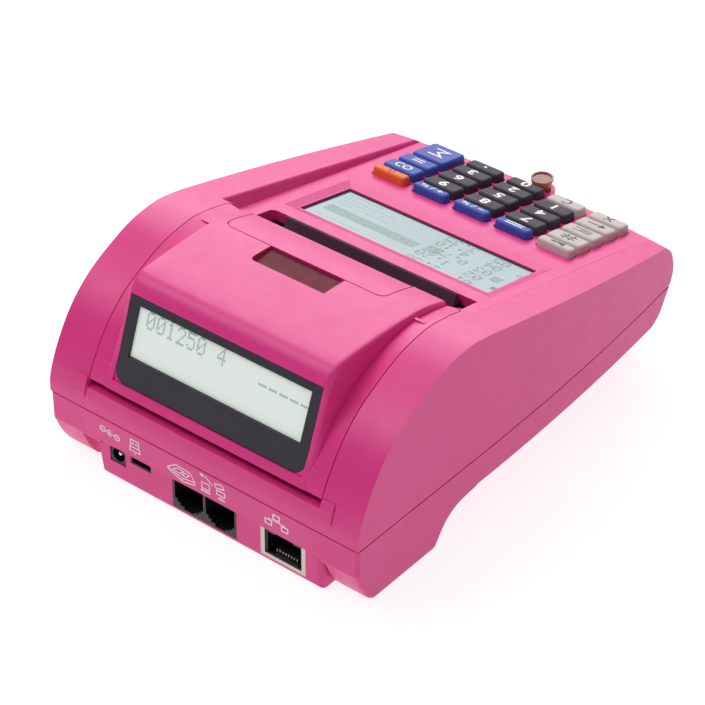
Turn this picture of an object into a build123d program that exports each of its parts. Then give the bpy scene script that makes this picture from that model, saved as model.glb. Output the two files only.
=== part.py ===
from build123d import *
import math
import os

# Portable ticket register: wedge-shaped desktop case with keypad, two
# displays, a paper roll under a rear-hinged cover and a ticket printer.
# Millimetres. X across the case, +Y towards the customer display and the
# connector panel, +Z up, feet on Z = 0. The working frame below has Y = 0 on
# the rear face; every part is shifted by YC on export so that the case is
# centred on the origin.

# ---------------------------------------------------------------- dimensions
HALF_W = 56.6            # half width of the case at the rear
REAR_STRIP = 1.0         # proud face of the base shell above the sockets
BULGE = 3.4              # the front bows out by this much at the middle
BOW_R = 399.4            # plan radius of the bowed front
TAPER_START = -57.0      # the side walls start drawing in here
Z_PART = 21.3            # parting plane between base shell and upper casing
WALL = 2.2               # moulding thickness
RIM_SLOPE = 0.248        # slope of the side rims
RIM_Y0, RIM_Z0 = -60.0, 60.0
PANEL_SLOPE = 0.2144     # slope of the sunken keypad panel
PANEL_Y0, PANEL_Z0 = -121.5, 42.65
RECESS_X = 43.5          # half width of the sunken panel
COVER_X = 42.4           # half width of the printer cover
COVER_FRONT = -61.8      # front edge of the printer cover
COVER_LOW = 31.2         # lower edge of the printer cover
HINGE_Y, HINGE_Z = -4.6, 32.0
KEY_PITCH_X = 15.48
KEY_W = 12.6
KEY_H = 2.6              # key height above the panel
KEY_GAP = 0.32           # gap between key and its opening
PLATEN_Y, PLATEN_Z, PLATEN_R = -67.85, 47.6, 4.2
ROLL_Y, ROLL_Z, ROLL_R = -38.0, 38.35, 17.5
BUCKET_Y, BUCKET_Z, BUCKET_R = -38.0, 39.5, 18.7
GEAR_M = 0.5
N_PLATEN, N_IDLER, N_PINION = 14, 30, 12
YC = 80.5                # shift that centres the case on Y

parts = {}


# ------------------------------------------------------------------- helpers
def box(x0, x1, y0, y1, z0, z1):
    return Pos((x0 + x1) / 2, (y0 + y1) / 2, (z0 + z1) / 2) * Box(x1 - x0, y1 - y0, z1 - z0)


def cyl_x(y, z, r, x0, x1):
    return Pos((x0 + x1) / 2, y, z) * Rot(0, 90, 0) * Cylinder(r, x1 - x0)


def cyl_y(x, z, r, y0, y1):
    return Pos(x, (y0 + y1) / 2, z) * Rot(90, 0, 0) * Cylinder(r, y1 - y0)


def cyl_z(x, y, r, z0, z1):
    return Pos(x, y, (z0 + z1) / 2) * Cylinder(r, z1 - z0)


def face_yz(pts, x=0.0):
    v = [Vector(x, p[0], p[1]) for p in pts]
    return Face(Wire.make_polygon(v, close=True))


def prism_yz(pts, x0, x1):
    return extrude(face_yz(pts, x0), amount=x1 - x0, dir=(1, 0, 0))


def prism_xz(pts, y0, y1):
    v = [Vector(p[0], y0, p[1]) for p in pts]
    return extrude(Face(Wire.make_polygon(v, close=True)), amount=y1 - y0, dir=(0, 1, 0))


def prism_xy(pts, z0, z1):
    v = [Vector(p[0], p[1], z0) for p in pts]
    return extrude(Face(Wire.make_polygon(v, close=True)), amount=z1 - z0, dir=(0, 0, 1))


def spline3(pts, t0=None, t1=None, x=0.0):
    v = [Vector(x, p[0], p[1]) for p in pts]
    if t0 is not None:
        return Edge.make_spline(v, tangents=[Vector(0, *t0), Vector(0, *t1)])
    return Edge.make_spline(v)


def seg3(p, q, x=0.0):
    return Edge.make_line(Vector(x, p[0], p[1]), Vector(x, q[0], q[1]))


def offset_pts(pts, d):
    out = []
    n = len(pts)
    for i in range(n):
        a = pts[max(i - 1, 0)]
        b = pts[min(i + 1, n - 1)]
        ty, tz = b[0] - a[0], b[1] - a[1]
        length = math.hypot(ty, tz)
        # the curves run from the rear foot up and forwards; inside is on the left
        out.append((pts[i][0] - d * tz / length, pts[i][1] + d * ty / length))
    return out


def rim(y):
    return RIM_Z0 + RIM_SLOPE * (y - RIM_Y0)


def panel(y):
    return PANEL_Z0 + PANEL_SLOPE * (y - PANEL_Y0)


def half_w(y):
    return HALF_W - 0.541e-3 * max(0.0, TAPER_START - y) ** 2


def fillet_some(solid, picker, radii):
    """Round the picked edges with the first radius that the shape accepts."""
    for r in radii:
        try:
            edges = picker(solid)
            if not edges:
                return solid
            new = fillet(edges, r)
            if new.is_valid and new.volume > 0.5 * solid.volume:
                return new
        except Exception:
            continue
    return solid


# ---------------------------------------------------------- outline of the case
ARC = [(REAR_STRIP, 24.0), (0.35, 27.6), (-0.7, 30.6), (-4.2, 37.7), (-8.5, 44.2), (-15.1, 50.85),
       (-20.0, 54.2), (-26.4, 57.4), (-35.0, 60.8), (-43.5, 62.2), (-48.5, 62.2),
       (-54.0, 61.3), (RIM_Y0, RIM_Z0)]
T_ARC0 = (0.0, 1.0)
T_ARC1 = (-1.0, -RIM_SLOPE)
arc_edge = spline3(ARC, T_ARC0, T_ARC1)
ARC_S = []
for k in range(49):
    p = arc_edge.position_at(k / 48)
    ARC_S.append((p.Y, p.Z))
ARC_IN = offset_pts(ARC_S, WALL)

# outline of the front at the case's corners, from above the rim down to the floor
NOSE = [(-146.2, 39.9), (-151.2, 37.36), (-153.7, 35.35), (-155.6, 33.0), (-157.1, 29.2), (-157.6, 26.0),
        (-156.1, 21.3), (-153.4, 17.4), (-151.0, 14.0), (-148.0, 12.1), (-141.5, 10.9)]
nose_edge = spline3([(p[0] - BULGE, p[1]) for p in NOSE])
NOSE_S = []
for k in range(41):
    p = nose_edge.position_at(k / 40)
    NOSE_S.append((p.Y, p.Z))
NOSE_IN = offset_pts(NOSE_S, WALL)
BOW_AXIS = Axis((0, BOW_R + NOSE[5][0] - BULGE, 0), (0, 0, 1))


def bowed_front(face):
    """Sweep a face of the YZ plane along the bowed front of the case."""
    return revolve(face.rotate(BOW_AXIS, -10), BOW_AXIS, 20)


y_in, z_in = NOSE_S[0]
y_out, z_out = NOSE_S[-1]
front_cut = bowed_front(Face(Wire([
    nose_edge, seg3((y_out, z_out), (y_out, 9.5)), seg3((y_out, 9.5), (-176.0, 9.5)), seg3((-176.0, 9.5), (-176.0, 82.0)),
    seg3((-176.0, 82.0), (y_in, 82.0)), seg3((y_in, 82.0), (y_in, z_in))])))
front_cut_in = bowed_front(face_yz(NOSE_IN + [(NOSE_IN[-1][0], 9.5), (-176.0, 9.5), (-176.0, 82.0), (NOSE_IN[0][0], 82.0)]))

casing_profile = Face(Wire([
    arc_edge,
    seg3((RIM_Y0, RIM_Z0), (-168.0, rim(-168.0))),
    seg3((-168.0, rim(-168.0)), (-168.0, Z_PART)),
    seg3((-168.0, Z_PART), (REAR_STRIP, Z_PART)),
    seg3((REAR_STRIP, Z_PART), ARC[0]),
]))


def plan_face(inset, z):
    hw = [(half_w(y) - inset, y) for y in (TAPER_START, -80.0, -100.0, -120.0, -136.0, -150.5, -172.0)]
    rear = 6.0
    edges = []
    for s in (1, -1):
        edges.append(Edge.make_line(Vector(s * hw[0][0], rear, z), Vector(s * hw[0][0], TAPER_START, z)))
        edges.append(Edge.make_spline([Vector(s * a, b, z) for a, b in hw],
                                      tangents=[Vector(0, -1, 0), Vector(-s * 0.124, -1, 0)]))
    edges.append(Edge.make_line(Vector(hw[-1][0], hw[-1][1], z), Vector(-hw[-1][0], hw[-1][1], z)))
    edges.append(Edge.make_line(Vector(-hw[0][0], rear, z), Vector(hw[0][0], rear, z)))
    return Face(Wire(edges))


plan_outer = extrude(plan_face(0.0, -5.0), amount=80, dir=(0, 0, 1))
plan_inner = extrude(plan_face(WALL, -5.0), amount=80, dir=(0, 0, 1))

# ------------------------------------------------------------------ upper casing
envelope = (extrude(casing_profile, amount=60, dir=(1, 0, 0), both=True) & plan_outer) - front_cut


def side_edges(s):
    """Edges between the side walls and the arc, the rims and the front."""
    out = []
    for e in s.edges():
        bb = e.bounding_box()
        c = e.center()
        if abs(c.X) > 45 and bb.size.X < 8 and bb.max.Z > 24 and (bb.size.Y > 20 or bb.size.Z > 1.5) \
                and not (bb.size.Z < 0.01):
            out.append(e)
    return out


def crease_edges(s):
    """The faint edge between each rim and the front."""
    return [e for e in s.edges() if e.bounding_box().size.X > 60 and e.bounding_box().min.Z > 30 and e.center().Y < -140]


envelope_soft = fillet_some(envelope, side_edges, (1.25, 1.0, 0.7))

cavity_pts = [(ARC_IN[0][0], Z_PART - 1)] + ARC_IN[:-1] + [
    (-59.6, 57.4), (-59.6, panel(-59.6) - WALL - 0.05), (-166.0, panel(-166.0) - WALL - 0.05), (-166.0, Z_PART - 1)]
cavity = (prism_yz(cavity_pts, -58, 58) & plan_inner) - front_cut_in
rim_cavity_pts = [(-58.5, 57.6), (-148.0, rim(-148.0) - 2.4), (-148.0, 28.0), (-58.5, 45.0)]
rim_cav = (prism_yz(rim_cavity_pts, RECESS_X + 3.6, 58) + prism_yz(rim_cavity_pts, -58, -RECESS_X - 3.6)) & plan_inner

casing = envelope_soft - cavity - rim_cav

# panel frame: local x = X, local y up the slope, local z out of the panel
PA = math.degrees(math.atan(PANEL_SLOPE))
KP = Pos(0, PANEL_Y0, PANEL_Z0) * Rot(PA, 0, 0)
CA = math.cos(math.radians(PA))


def ly(y):
    return (y - PANEL_Y0) / CA


def kbox(x0, x1, y0, y1, z0, z1):
    return KP * box(x0, x1, ly(y0), ly(y1), z0, z1)


def kpoint(x, y, z):
    """A point of the panel frame given by X, the Y it has on the panel and its height above it."""
    return (KP * Pos(x, ly(y), z)).position


# sunken keypad panel with leaning side walls, running out at the front edge
LEAN = 0.46
recess_face = Face(Wire.make_polygon([kpoint(a, -58.0, h) for a, h in (
    (-RECESS_X, 0.0), (RECESS_X, 0.0), (RECESS_X + LEAN * 20, 20.0), (-RECESS_X - LEAN * 20, 20.0))], close=True))
recess = extrude(recess_face, amount=118, dir=tuple((KP * Pos(0, -1, 0)).position - (KP * Pos(0, 0, 0)).position))
recess = recess & box(-70, 70, -190, -62.1, 0, 100)
casing = casing - recess


def rim_edges(s):
    out = []
    for e in s.edges():
        bb = e.bounding_box()
        if 43.6 < abs(e.center().X) < 46.5 and bb.size.Y > 60 and bb.max.Z > 57.5 and bb.size.X < 4:
            out.append(e)
    return out


casing = fillet_some(casing, rim_edges, (1.5, 1.2, 0.9, 0.6))


def cover_opening(x, r, z0, z1):
    """Opening for the cover with rounded front corners."""
    o = box(-x, x, -62.1, 5, z0, z1)
    for s in (1, -1):
        a, b = sorted((s * (x - r), s * (x + 1)))
        o = o - (box(a, b, -63.0, -62.1 + r, z0 - 1, z1 + 1) - cyl_z(s * (x - r), -62.1 + r, r, z0 - 2, z1 + 2))
    return o


casing = casing - cover_opening(COVER_X + 0.3, 2.2, 28.5, 80)
# ticket slot between cover and panel, with a skirt around it
slot_skirt = box(-39.2, -32.0, -77.2, -62.1, 49.0, 51.8) + box(32.0, 39.2, -77.2, -62.1, 49.0, 51.8)
slot_skirt = slot_skirt & prism_yz([(-62.1, panel(-62.1) - 0.3), (-62.1, 40), (-90, 40), (-90, panel(-90) - 0.3)], -60, 60)
slot_cut = box(-37.5, 37.5, -75.6, -60, 30, 80)
slot_cut = slot_cut - (box(35.5, 38.5, -76.6, -73.6, 29, 81) - cyl_z(35.5, -73.6, 2.0, 28, 82))
casing = casing + slot_skirt - slot_cut
casing = casing - box(-COVER_X + 2.0, COVER_X - 2.0, -62.1, 5, 28.5, 80)

# main display: shallow bevelled surround and a rectangular window
bevel = Solid.make_loft([
    Wire.make_polygon([kpoint(a, b, 0.1) for a, b in ((-38.3, -112.4), (38.3, -112.4), (38.3, -80.7), (-38.3, -80.7))], close=True),
    Wire.make_polygon([kpoint(a, b, -0.95) for a, b in ((-35.2, -109.0), (35.2, -109.0), (35.2, -84.2), (-35.2, -84.2))], close=True)],
    ruled=True)
casing = casing - bevel
casing = casing - kbox(-34.8, 34.8, -108.6, -84.6, -8, 6)

# ------------------------------------------------------------------------- keys
ROWS = {"A": (-121.4, -125.3), "B": (-126.3, -132.6), "C": (-133.7, -139.9),
        "D": (-141.0, -147.1), "E": (-148.2, -153.5)}
KEYS = [
    ("key_feed", 0, "A", "A"), ("key_plu", 0, "B", "B"), ("key_department", 0, "C", "C"),
    ("key_void", 0, "D", "D"), ("key_quantity", 0, "E", "E"),
    ("key_function", 1, "A", "A"), ("key_7", 1, "B", "B"), ("key_4", 1, "C", "C"),
    ("key_1", 1, "D", "D"), ("key_clear", 1, "E", "E"),
    ("key_minus_percent", 2, "A", "A"), ("key_8", 2, "B", "B"), ("key_5", 2, "C", "C"),
    ("key_2", 2, "D", "D"), ("key_0", 2, "E", "E"),
    ("key_plus_percent", 3, "A", "A"), ("key_9", 3, "B", "B"), ("key_6", 3, "C", "C"),
    ("key_3", 3, "D", "D"), ("key_point", 3, "E", "E"),
    ("key_power", 4, "A", "A"), ("key_pay", 4, "B", "B"), ("key_subtotal", 4, "C", "C"),
    ("key_total", 4, "D", "E"),
]


def key_geometry(col, r0, r1):
    xc = (col - 2) * KEY_PITCH_X
    y0, y1 = ly(ROWS[r0][0]), ly(ROWS[r1][1])
    return xc, (y0 + y1) / 2, abs(y0 - y1)


PANEL_N = Vector(0, -math.sin(math.radians(PA)), math.cos(math.radians(PA)))
key_holes = None
for name, col, r0, r1 in KEYS:
    xc, yc, d = key_geometry(col, r0, r1)
    base = KP * Pos(xc, yc, -3.4) * extrude(RectangleRounded(KEY_W, d, 1.5), amount=3.4)
    cap = KP * Pos(xc, yc, 0) * extrude(RectangleRounded(KEY_W, d, 1.5), amount=KEY_H, taper=4)
    key = base + cap
    key = fillet_some(key, lambda s: s.edges().group_by(lambda e: PANEL_N.dot(e.center()))[-1], (0.9, 0.7, 0.5, 0.3))
    key = key + KP * Pos(xc, yc, -3.05) * Box(KEY_W + 1.5, d - 1.6, 0.7)
    # hollow underside with a central plunger
    key = key - KP * Pos(xc, yc, -1.9) * Box(KEY_W - 2.2, d - 1.9, 3.2)
    key = key + KP * Pos(xc, yc, -1.55) * Cylinder(0.75, 3.7)
    parts[name] = key
    hole = KP * Pos(xc, yc, -3) * extrude(RectangleRounded(KEY_W + 2 * KEY_GAP, d + 2 * KEY_GAP, 1.7), amount=6)
    key_holes = hole if key_holes is None else key_holes + hole
casing = casing - key_holes

# posts under the panel for the keypad board
for sx in (-40.3, 40.3):
    for yy in (-123.0, -149.0):
        casing = casing + KP * Pos(sx, ly(yy), -4.15) * Cylinder(1.4, 4.1)
# screw posts of the upper casing
SCREWS = [(50.6, -50.0), (-50.6, -50.0), (46.0, -140.0), (-46.0, -140.0)]
for sx, sy in SCREWS:
    s = 1 if sx > 0 else -1
    post = cyl_z(sx, sy, 3.4, Z_PART, 33.0) + box(min(sx, sx + s * 5), max(sx, sx + s * 5), sy - 1.2, sy + 1.2, Z_PART, 33.0)
    casing = casing + (post & plan_outer) - cyl_z(sx, sy, 1.3, Z_PART - 1, 31.0)
# hinge bosses and the small raised tabs that cover them
for s in (1, -1):
    a, b = sorted((s * 43.2, s * 47.6))
    boss = box(a, b, -8.2, -1.0, 27.6, 36.0) & envelope
    a, b = sorted((s * 42.9, s * 47.2))
    tab = prism_yz([(-4.0, 25.6), (1.2, 25.6), (1.15, 26.6), (0.35, 29.2), (-0.6, 31.6), (-4.0, 31.6)], a, b)
    casing = casing + boss + tab
# ledge that closes the gap under the cover's lower edge
casing = casing + box(-43.4, 43.4, -8.5, -0.4, 26.3, 27.9)
pin_bores = cyl_x(HINGE_Y, HINGE_Z, 1.5, -46.0, 46.0)
casing = casing - pin_bores
# seal well: round boss at the middle of the front edge, drawn in below
SEAL_X, SEAL_Y = -1.6, -157.8
seal_boss = cyl_z(SEAL_X, SEAL_Y, 4.2, 31.6, 34.9) + Pos(SEAL_X, SEAL_Y, 29.2) * Cone(0.9, 4.2, 4.8)
casing = casing + seal_boss
casing = casing - cyl_z(SEAL_X, SEAL_Y, 2.5, 29.6, 60.0) - cyl_z(SEAL_X, SEAL_Y, 3.2, 34.9, 60.0)
parts["upper_casing"] = casing
seal = cyl_z(SEAL_X, SEAL_Y, 2.5, 29.8, 35.0) + Pos(SEAL_X, SEAL_Y, 36.5) * Cone(2.85, 3.4, 3.2) \
    + cyl_z(SEAL_X, SEAL_Y, 3.55, 38.1, 38.9)
seal = seal - cyl_z(SEAL_X, SEAL_Y, 3.0, 38.5, 41.0)
parts["seal_cup"] = seal

# ------------------------------------------------------------------ base shell
BELLY_X0, BELLY_X1 = -43.6, 37.6


def foot_face(x):
    """Outline of the feet and of the floor in front of them."""
    heel = spline3([(REAR_STRIP, 11.9), (0.3, 10.2), (-0.9, 7.2), (-2.6, 4.0), (-4.4, 1.4), (-6.4, 0.0)], x=x)
    instep = spline3([(-31.0, 0.0), (-33.0, 1.0), (-35.2, 3.8), (-37.4, 6.6), (-40.4, 8.8), (-45.0, 10.4), (-52.0, 11.2),
                      (-62.0, 11.4)], (-1.0, 0.12), (-1.0, 0.0), x=x)
    return Face(Wire([seg3((REAR_STRIP, Z_PART), (REAR_STRIP, 11.9), x), heel, seg3((-6.4, 0.0), (-31.0, 0.0), x), instep,
                      seg3((-62.0, 11.4), (-168.0, 11.4), x), seg3((-168.0, 11.4), (-168.0, Z_PART), x),
                      seg3((-168.0, Z_PART), (REAR_STRIP, Z_PART), x)]))


def heel_edge(s):
    """The outer edges of the feet's heels and soles."""
    return [e for e in s.edges() if abs(abs(e.center().X) - HALF_W) < 0.02 and e.bounding_box().size.X < 0.05
            and e.bounding_box().max.Z < 12.1 and e.bounding_box().size.Y > 0.5 and -30 < e.center().Y < 2]


def rear_edges(s):
    return [e for e in s.edges() if abs(e.center().X) > 56 and e.bounding_box().size.Z > 7 and e.bounding_box().min.Z > 11.5
            and e.center().Y > 0.5]


foot_p = extrude(foot_face(BELLY_X1), amount=58 - BELLY_X1, dir=(1, 0, 0)) - box(36.0, 44.8, -46.0, 5.0, -1.0, 11.4)
foot_m = extrude(foot_face(-58.0), amount=58 + BELLY_X0, dir=(1, 0, 0)) - box(-45.2, BELLY_X0 + 1, -12.0, 5.0, -1.0, 10.9)
floor_mid = prism_yz([(REAR_STRIP, Z_PART), (REAR_STRIP, 12.7), (0.9, 12.4), (0.7, 12.22), (0.4, 12.12), (-3.0, 12.1), (-3.0, 11.4),
                      (-168.0, 11.4), (-168.0, Z_PART)], BELLY_X0, BELLY_X1)
base = ((foot_p + foot_m + floor_mid) & plan_outer) - front_cut
base = fillet_some(base, lambda s: heel_edge(s) + rear_edges(s), (1.2, 1.0, 0.7))
# belly block that carries the sockets, with a leaning side on +X
belly = prism_yz([(0.0, 12.6), (0.0, 1.3), (-0.3, 0.6), (-1.0, 0.3), (-146.0, 0.3), (-148.0, 2.3), (-148.0, 12.6)], BELLY_X0, 39.4)
belly = belly - prism_xz([(37.5, -1.0), (37.6, 0.3), (39.4, 11.5), (39.4, 12.0), (46, 12.0), (46, -1)], -160, 5)
belly = belly - (box(BELLY_X0 - 0.4, BELLY_X0 + 2.0, -2.0, 0.5, -1.0, 12.0) - cyl_z(BELLY_X0 + 2.0, -2.0, 2.0, -2, 13))
base = base + belly
base_cav = (prism_yz([(-1.4, 13.6), (-166.0, 13.6), (-166.0, Z_PART + 1), (-1.4, Z_PART + 1)], -54.2, 54.2) & plan_inner) - front_cut_in
belly_cav = box(BELLY_X0 + 1.8, BELLY_X1 - 1.6, -146.0, -1.6, 2.6, Z_PART - 2.0)
base = base - base_cav - belly_cav
for s in (1, -1):
    a, b = sorted((s * 46.8, s * 54.2))
    base = base - prism_yz([(-3.4, 15), (-3.4, 8.0), (-8.4, 2.0), (-29.6, 2.0), (-31.8, 4.0), (-35.5, 15)], a, b)
for sx, sy in SCREWS:
    s = 1 if sx > 0 else -1
    post = cyl_z(sx, sy, 3.6, 11.4, Z_PART) + box(min(sx, sx + s * 5), max(sx, sx + s * 5), sy - 1.2, sy + 1.2, 12.0, Z_PART)
    base = base + (post & plan_outer)
    base = base - cyl_z(sx, sy, 1.55, 10.0, Z_PART + 1) - cyl_z(sx, sy, 2.9, 10.0, 14.0)
# battery hatch opening in the floor with a ledge
base = base - box(-33.2, 33.2, -138.2, -89.8, -0.2, 2.1)
base = base - box(-31.0, 31.0, -136.0, -92.0, 0.0, 3.0)
# shallow seats for the rubber feet
FEET = [(-36.5, -12.0), (28.5, -24.0), (-36.5, -143.0), (28.5, -143.0)]
for fx, fy in FEET:
    base = base - cyl_z(fx, fy, 4.5, 0.0, 1.4)

# sockets: openings from the panel back into the shell
SOCK = {
    "dc": (28.9, 35.0, 6.1, 15.6),
    "usb": (19.1, 27.0, 8.9, 15.6),
    "dual": (-12.7, 11.1, 1.7, 15.6),
    "rj45": (-37.6, -21.4, 1.7, 15.6),
}
for k, (x0, x1, z0, z1) in SOCK.items():
    base = base - box(x0, x1, -16.3, 0.0001, z0, z1)
    base = base - box(x0, x1, -1.7, 3.0, z0, 12.05)
# shadow groove along the parting line
plan_groove = extrude(plan_face(0.55, -5.0), amount=80, dir=(0, 0, 1))
groove = (plan_outer - plan_groove) & box(-60, 60, -172, 5, 20.85, 23.0)
base = base - groove - box(-60, 60, 0.45, 5, 20.85, 23.0)


def base_low_edges(s):
    out = []
    for e in s.edges():
        bb = e.bounding_box()
        c = e.center()
        if c.Z < 12.5 and bb.max.Z < 13 and abs(abs(c.X) - half_w(c.Y)) < 0.4 and bb.size.Y > 1.0 and c.Y < -30:
            out.append(e)
    return out


base = fillet_some(base, base_low_edges, (1.6, 1.0, 0.6))


def belly_edges(s):
    out = []
    for e in s.edges():
        bb = e.bounding_box()
        c = e.center()
        if bb.max.Z < 0.5 and bb.size.Y > 80 and (abs(c.X - BELLY_X0) < 0.2 or abs(c.X - BELLY_X1) < 0.2):
            out.append(e)
    return out


base = fillet_some(base, belly_edges, (1.2, 0.8))
parts["base_shell"] = base

# ----------------------------------------------------------------- connectors
x0, x1, z0, z1 = SOCK["dc"]
dc = box(x0 + 0.05, x1 - 0.05, -10.5, -0.3, z0 + 0.05, z1)
dc = dc - cyl_y((x0 + x1) / 2, 9.1, 2.3, -9.0, 1.0) + cyl_y((x0 + x1) / 2, 9.1, 0.65, -9.2, -1.2)
parts["dc_jack"] = dc
x0, x1, z0, z1 = SOCK["usb"]
usb = box(x0 + 0.05, x1 - 0.05, -8.6, -0.2, z0 + 0.05, 12.9) + box(x0 + 0.6, x1 - 0.6, -8.0, -2.0, 12.9, z1)
usb = usb - box(x0 + 0.4, x1 - 0.4, -7.6, 1.0, z0 + 0.4, 12.55) + box(x0 + 1.5, x1 - 1.5, -8.0, -1.4, 10.4, 11.1)
parts["usb_socket"] = usb
x0, x1, z0, z1 = SOCK["dual"]
dual = box(x0 + 0.05, x1 - 0.05, -14.0, -0.05, z0 + 0.05, z1)
for c in (-6.6, 5.0):
    # opening with the clip channel at the bottom, stepped at its lower corners
    dual = dual - box(c - 5.3, c + 5.3, -11.5, 1.0, 5.0, 12.9) - box(c - 4.4, c + 4.4, -11.5, 1.0, 4.0, 5.1) \
        - box(c - 3.4, c + 3.4, -11.5, 1.0, 3.1, 4.1) - box(c - 1.9, c + 1.9, -11.5, 1.0, 2.3, 3.2)
    for i in range(4):
        xx = c - 2.25 + 1.5 * i
        dual = dual + prism_yz([(-10.8, 13.0), (-10.8, 10.2), (-5.0, 12.4), (-5.0, 13.0)], xx - 0.25, xx + 0.25)
parts["dual_modular_socket"] = dual
x0, x1, z0, z1 = SOCK["rj45"]
shell = box(x0 + 0.05, x1 - 0.05, -16.0, 0.0, z0 + 0.05, z1)
shell = shell - box(x0 + 0.4, x1 - 0.4, -15.6, 1.0, z0 + 0.4, z1 - 0.35)
# folded flanges around the mouth
flange = box(x0 + 0.4, x1 - 0.4, -0.5, -0.05, z0 + 0.4, z1 - 0.35) - box(x0 + 1.5, x1 - 1.5, -2, 1.0, z0 + 1.2, z1 - 1.5)
shell = shell + flange
parts["network_socket_shell"] = shell
ins = box(x0 + 0.45, x1 - 0.45, -15.55, -0.55, z0 + 0.45, z1 - 0.4)
xm = (x0 + x1) / 2
ins = ins - box(xm - 5.95, xm + 5.95, -12.5, 1.0, 3.1, 10.2) - box(xm - 3.1, xm + 3.1, -12.5, 1.0, 10.1, 11.7) \
    - box(xm - 1.6, xm + 1.6, -12.5, 1.0, 11.6, 12.8)
parts["network_socket_insert"] = ins
con = None
for i in range(8):
    xx = xm - 3.57 + 1.02 * i
    w = prism_yz([(-12.0, 3.1), (-12.0, 6.4), (-11.5, 6.6), (-3.4, 3.9), (-3.2, 3.1)], xx - 0.2, xx + 0.2)
    con = w if con is None else con + w
parts["network_socket_contacts"] = con

# --------------------------------------------------------------- electronics
pcb = box(-46.0, 46.0, -62.0, -2.4, 15.65, 17.2)
for cx, cy in ((-42.0, -58.0), (42.0, -58.0), (42.5, -6.0), (-42.5, -6.0)):
    pcb = pcb - cyl_z(cx, cy, 1.6, 15, 18)
pcb = pcb + box(-14.0, 2.0, -32.0, -18.0, 17.2, 18.4) + box(14.0, 24.0, -14.0, -6.0, 17.2, 19.2) \
    + box(-36.0, -28.0, -54.0, -46.0, 17.2, 18.4) + cyl_z(36.0, -26.0, 3.2, 17.2, 25.0) + cyl_z(36.0, -34.0, 3.2, 17.2, 25.0)
parts["main_board"] = pcb
for cx, cy in ((-42.0, -58.0), (42.0, -58.0), (42.5, -6.0), (-42.5, -6.0)):
    post = cyl_z(cx, cy, 2.6, 11.6 if cx > 0 else 1.0, 15.6) + cyl_z(cx, cy, 1.45, 11.6 if cx > 0 else 1.0, 17.6)
    parts["base_shell"] = parts["base_shell"] + (post & (box(BELLY_X0 + 0.1, 60, -70, 5, 0.5, 20) + box(-60, 60, -70, 5, 12.0, 20)))
parts["battery_pack"] = fillet(box(-30.0, 30.0, -135.0, -93.0, 3.6, 19.5).edges().filter_by(Axis.X), 3.0)
parts["base_shell"] = parts["base_shell"] + box(-32.6, 32.6, -91.9, -90.6, 2.4, 14.0)
hatch = box(-33.0, 33.0, -138.0, -90.0, 0.3, 2.05) + box(-30.8, 30.8, -135.8, -92.2, 2.0, 3.55)
hatch = hatch - box(-8.0, 8.0, -137.2, -133.2, 0.1, 1.2)
parts["battery_hatch"] = hatch
kpcb = kbox(-41.9, 41.9, -154.2, -119.6, -7.8, -6.2)
kmat = kbox(-38.3, 38.3, -153.9, -120.4, -6.2, -5.2)
parts["keypad_board"] = kpcb
for name, col, r0, r1 in KEYS:
    xc, yc, d = key_geometry(col, r0, r1)
    kmat = kmat + KP * Pos(xc, yc, -5.1) * Cylinder(min(2.3, d / 2 - 0.3), 0.4)
parts["key_mat"] = kmat
lcd_mod = kbox(-39.5, 39.5, -111.6, -81.4, -7.6, -2.3) - kbox(-34.9, 34.9, -108.8, -84.4, -3.1, 0)
parts["main_display_module"] = lcd_mod
parts["main_display_glass"] = kbox(-34.65, 34.65, -108.45, -84.75, -3.1, -1.7)

# ------------------------------------------------------------------- printer
frame_pr = None
for s in (1, -1):
    a, b = sorted((s * 30.4, s * 31.6))
    p = prism_yz([(-84.0, 17.25), (-84.0, 38.0), (-76.5, 42.4), (-72.2, 42.4), (-64.0, 41.0), (-60.0, 36.0), (-60.0, 17.25)], a, b)
    frame_pr = p if frame_pr is None else frame_pr + p
frame_pr = frame_pr + box(-30.5, 30.5, -84.0, -60.0, 17.25, 18.6) + box(-30.5, 30.5, -79.0, -74.6, 40.6, 42.0) \
    + box(-30.5, 30.5, -79.4, -78.0, 40.6, 49.0)
frame_pr = frame_pr + box(-30.5, 30.5, -78.2, -74.5, 47.8, 49.0)
# low chute wall that leads the paper from the roll to the head
frame_pr = frame_pr + box(-29.0, 29.0, -61.2, -60.0, 18.5, 40.0)
AX_IY = -69.0
AX_IZ = PLATEN_Z - math.sqrt(((N_PLATEN + N_IDLER) * GEAR_M / 2) ** 2 - (AX_IY - PLATEN_Y) ** 2)
AX_MY, AX_MZ = AX_IY - 8.0, AX_IZ - math.sqrt(10.5 ** 2 - 8.0 ** 2)
frame_pr = frame_pr + cyl_x(AX_IY, AX_IZ, 1.0, 31.5, 35.6)
frame_pr = frame_pr - cyl_x(AX_MY, AX_MZ, 2.0, 29.0, 32.5)
parts["printer_frame"] = frame_pr
motor = cyl_x(AX_MY, AX_MZ, 8.6, 17.0, 30.35) + cyl_x(AX_MY, AX_MZ, 1.95, 30.3, 31.6)
motor = motor - cyl_x(AX_MY, AX_MZ, 0.8, 24.0, 32.0)
parts["feed_motor"] = motor
head = box(-27.5, 27.5, -74.4, -72.1, 42.1, 49.3)
parts["print_head"] = head
# serrated tear bar on the panel edge of the ticket slot
blade = prism_yz([(-72.75, 49.35), (-74.0, 53.3), (-74.75, 53.3), (-74.75, 49.35)], -31.2, 31.2)
saw = [(-31.2, 49.0)]
n_t = 104
for i in range(n_t):
    xa = -31.2 + 62.4 * i / n_t
    saw.append((xa, 52.55))
    saw.append((xa + 62.4 / n_t / 2, 53.3))
saw.append((31.2, 52.55))
saw.append((31.2, 49.0))
blade = blade & prism_xz(saw, -76.0, -72.0)
blade = blade + box(-31.2, 31.2, -77.9, -74.4, 49.05, 49.75)
parts["tear_bar"] = blade


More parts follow.
